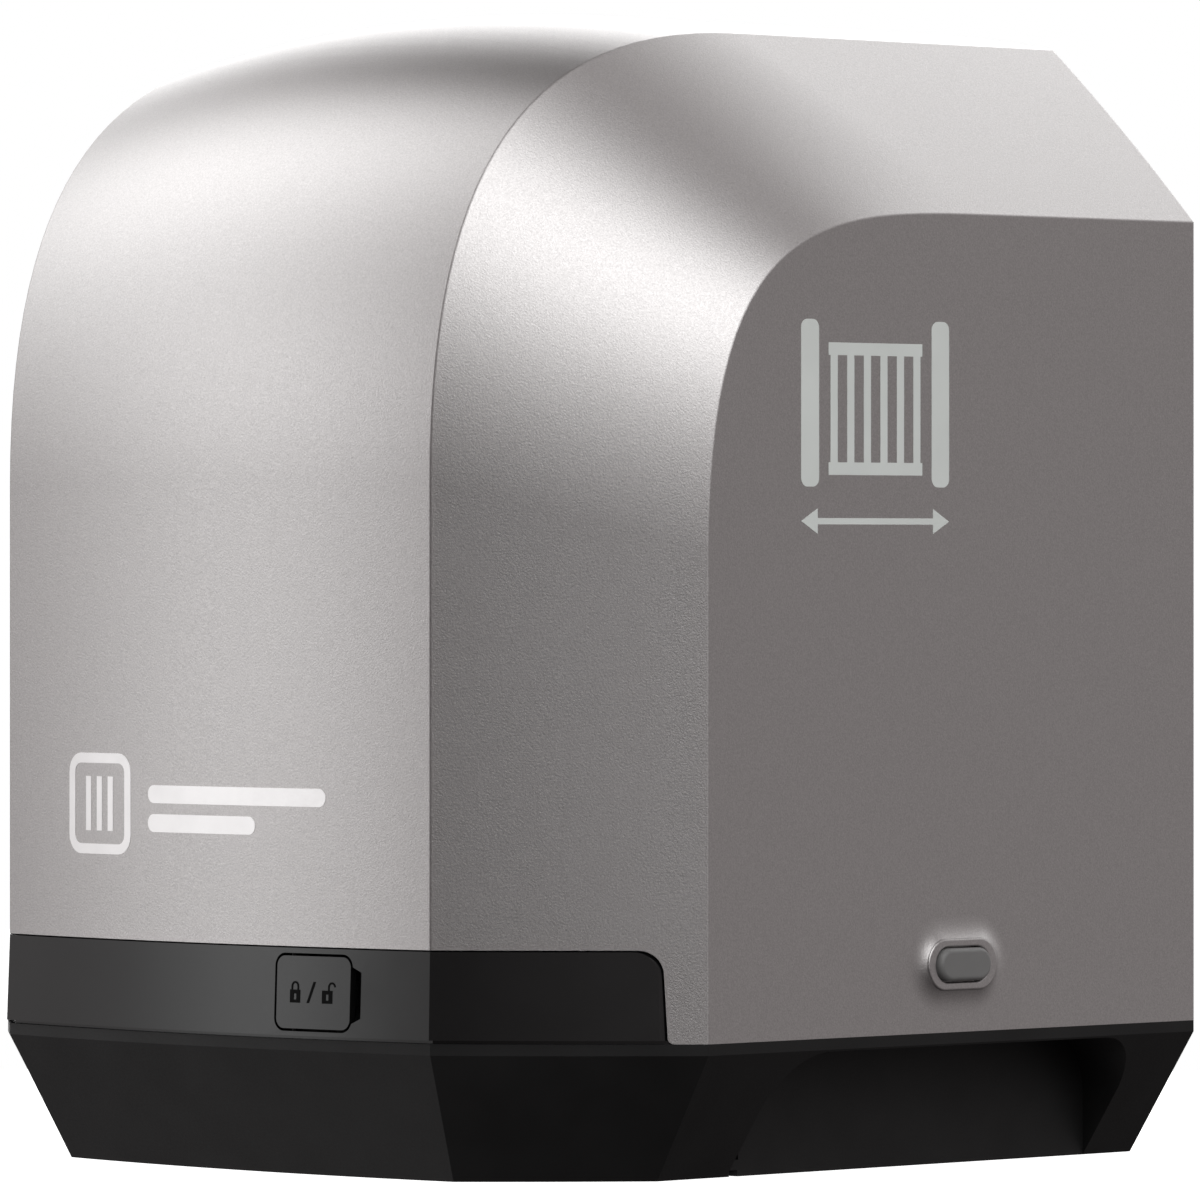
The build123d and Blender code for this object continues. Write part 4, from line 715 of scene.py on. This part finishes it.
silver = silver_lacquer()
SLOT_MATERIALS = {
    "silver_shell": silver,
    "button_plastic": moulded("button_grey", (0.20, 0.20, 0.198), 0.42, 0.4, 0.006, 0.06),
    "spring_steel": metal("spring_steel", (0.50, 0.50, 0.51), 0.3, (1, 1, 6)),
    "base_black": moulded("base_black", (0.0085, 0.0085, 0.0087), 0.55, 0.5, 0.02, specular=0.3),
    "seal_rubber": moulded("seal_rubber", (0.014, 0.014, 0.014), 0.75, 1.2, 0.03),
    "apron_black": moulded("apron_black", (0.0045, 0.0045, 0.0047), 0.16, 0.35, 0.004, specular=0.5),
    "blackened_steel": metal("blackened_steel", (0.02, 0.02, 0.021), 0.4),
    "bright_steel": metal("bright_steel", (0.60, 0.60, 0.61), 0.22, (1, 8, 1)),
    "bronze": metal("bronze", (0.55, 0.34, 0.15), 0.34),
    "gear_steel": metal("gear_steel", (0.42, 0.42, 0.43), 0.36),
    "zinc_steel": metal("zinc_steel", (0.60, 0.61, 0.62), 0.34),
    "bearing_steel": metal("bearing_steel", (0.66, 0.66, 0.67), 0.18),
    "cast_alloy": cast_metal("cast_alloy", (0.50, 0.50, 0.51), 0.5),
    "motor_paint": moulded("motor_paint", (0.02, 0.02, 0.022), 0.3, 1.5, 0.01),
    "ferrite": moulded("ferrite", (0.05, 0.05, 0.055), 0.7, 0.6, 0.04),
    "copper_winding": banded("copper_winding", 1.0, (0.62, 0.30, 0.16), 0.35, 0.8, "Z", 0.1),
    "lock_alloy": cast_metal("lock_alloy", (0.20, 0.20, 0.21), 0.5),
    "board_green": circuit_board(),
    "relay_blue": moulded("relay_blue", (0.02, 0.08, 0.30), 0.3, 0.5, 0.004),
    "capacitor_sleeve": moulded("capacitor_sleeve", (0.015, 0.015, 0.04), 0.3, 0.5, 0.004),
    "terminal_green": moulded("terminal_green", (0.03, 0.26, 0.08), 0.42, 0.5, 0.006),
    "core_steel": banded("core_steel", 1.0, (0.24, 0.24, 0.26), 0.5, 0.7, "X", 0.12),
    "coil_tape": banded("coil_tape", 0.0, (0.55, 0.40, 0.06), 0.4, 6.0, "Z", 0.08, 0.8),
    "gland_nylon": moulded("gland_nylon", (0.03, 0.03, 0.03), 0.55, 0.5, 0.01),
}

# --- pieces and their finishes -------------------------------------------------------------------
slot_of = {part["node"]: part["material_slot"] for part in frame["record"]["subparts"]}
for name, node in nodes.items():
    node.data.materials.clear()
    node.data.materials.append(SLOT_MATERIALS[slot_of[name]])

cover = make_cover()
cover.data.materials.append(silver)
for surround in make_surrounds():
    surround.data.materials.append(silver)

side_print, front_print, flap_marks = make_side_print(), make_front_print(), make_flap_marks()
ink = {"grain_mm": 0.3, "depth_mm": 0.002}
print_grey = moulded("print_grey", (0.88, 0.93, 0.90), 0.5, spread=0.03, **ink)
print_white = metal("print_white", (0.93, 0.92, 0.92), 0.42, spread=0.03, **ink)
mark_black = moulded("mark_black", (0.003, 0.003, 0.003), 0.5, specular=0.05, **ink)
for piece, body, slot, finish in ((side_print, "cover", "silver_shell", print_grey),
                                  (front_print, "cover", "silver_shell", print_white),
                                  (flap_marks, "flap", "apron_black", mark_black)):
    piece.data.materials.append(finish)
    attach(piece, body)


# --- studio --------------------------------------------------------------------------------------
def make_camera():
    """Long lens at the height of the product's middle, facing its front right corner."""
    data = bpy.data.cameras.new("camera")
    data.lens = 295.0
    data.sensor_width = 36.0
    data.shift_y = -0.0307
    camera = bpy.data.objects.new("camera", data)
    camera.location = (1.8467, -1.8173, 0.1573)
    camera.rotation_euler = (pi / 2, 0, radians(45.09))
    bpy.context.scene.collection.objects.link(camera)
    bpy.context.scene.camera = camera


def make_floor():
    """Plain white floor that throws no light back on the product."""
    mesh = bpy.data.meshes.new("floor")
    radius, turns = 0.45, 96
    turn = [2 * pi * k / turns for k in range(turns)]
    rim = [(radius * cos(a), radius * sin(a), 0) for a in turn]
    mesh.from_pydata(rim, [], [list(range(turns))])
    floor = bpy.data.objects.new("floor", mesh)
    bpy.context.scene.collection.objects.link(floor)
    finish = Finish("floor_white", 0.0, 0.8, Emission_Color=(1, 1, 1, 1), Emission_Strength=1.0)
    finish.colours(finish.noise(400.0, 2.0), [(0.3, (0.74, 0.74, 0.74)), (0.7, (0.76, 0.76, 0.76))])
    mesh.materials.append(finish.material)
    floor.visible_glossy = False
    floor.visible_diffuse = False


LIGHT = 1.8
SOFTBOXES = [  # azimuth from +X and elevation in degrees, brightness (below 0: a flag), narrowness
    (-130, 7, 0.92, 65.0),
    (-126, 10, 0.34, 12.0),
    (-29, 40, 1.70, 9.5),
    (-163, 38, 1.40, 8.5),
    (127, 9, 2.4, 12.0),
    (94, 36, 0.75, 10.0),
    (150, 48, -0.62, 26.0),
    (47, 0, 0.18, 3.0),
    (-130, -40, 0.50, 8.0),
]


def make_world():
    """White backdrop to the camera; soft lobes of light from a few directions for everything else."""
    world = bpy.data.worlds.new("studio")
    bpy.context.scene.world = world
    world.use_nodes = True
    tree = world.node_tree
    tree.nodes.clear()
    direction = tree.nodes.new("ShaderNodeTexCoord").outputs["Generated"]

    def calculate(operation, *values):
        node = tree.nodes.new("ShaderNodeMath")
        node.operation = operation
        for socket, value in zip(node.inputs, values):
            if isinstance(value, bpy.types.NodeSocket):
                tree.links.new(value, socket)
            else:
                socket.default_value = value
        return node.outputs[0]

    total = calculate("ADD", 0.0, 0.0)
    for azimuth, elevation, brightness, narrowness in SOFTBOXES:
        a, e = radians(azimuth), radians(elevation)
        dot = tree.nodes.new("ShaderNodeVectorMath")
        dot.operation = "DOT_PRODUCT"
        tree.links.new(direction, dot.inputs[0])
        dot.inputs[1].default_value = (cos(e) * cos(a), cos(e) * sin(a), sin(e))
        fall = calculate("MULTIPLY_ADD", dot.outputs["Value"], narrowness, -narrowness)
        total = calculate("MULTIPLY_ADD", calculate("EXPONENT", fall), brightness, total)
    total = calculate("MAXIMUM", total, 0.01)
    soft = tree.nodes.new("ShaderNodeBackground")
    tree.links.new(calculate("MULTIPLY", total, LIGHT), soft.inputs["Strength"])
    tint = tree.nodes.new("ShaderNodeValToRGB")  # the dim parts of the studio are a little warm
    tint.color_ramp.elements[0].color = (1.0, 0.91, 0.91, 1.0)
    tint.color_ramp.elements[1].position = 0.6
    tree.links.new(total, tint.inputs["Fac"])
    tree.links.new(tint.outputs["Color"], soft.inputs["Color"])
    plain = tree.nodes.new("ShaderNodeBackground")
    plain.inputs["Color"].default_value = (1, 1, 1, 1)
    mix = tree.nodes.new("ShaderNodeMixShader")
    tree.links.new(tree.nodes.new("ShaderNodeLightPath").outputs["Is Camera Ray"], mix.inputs[0])
    tree.links.new(soft.outputs[0], mix.inputs[1])
    tree.links.new(plain.outputs[0], mix.inputs[2])
    tree.links.new(mix.outputs[0], tree.nodes.new("ShaderNodeOutputWorld").inputs["Surface"])


make_camera()
make_floor()
make_world()
bpy.context.scene.view_settings.view_transform = "Standard"
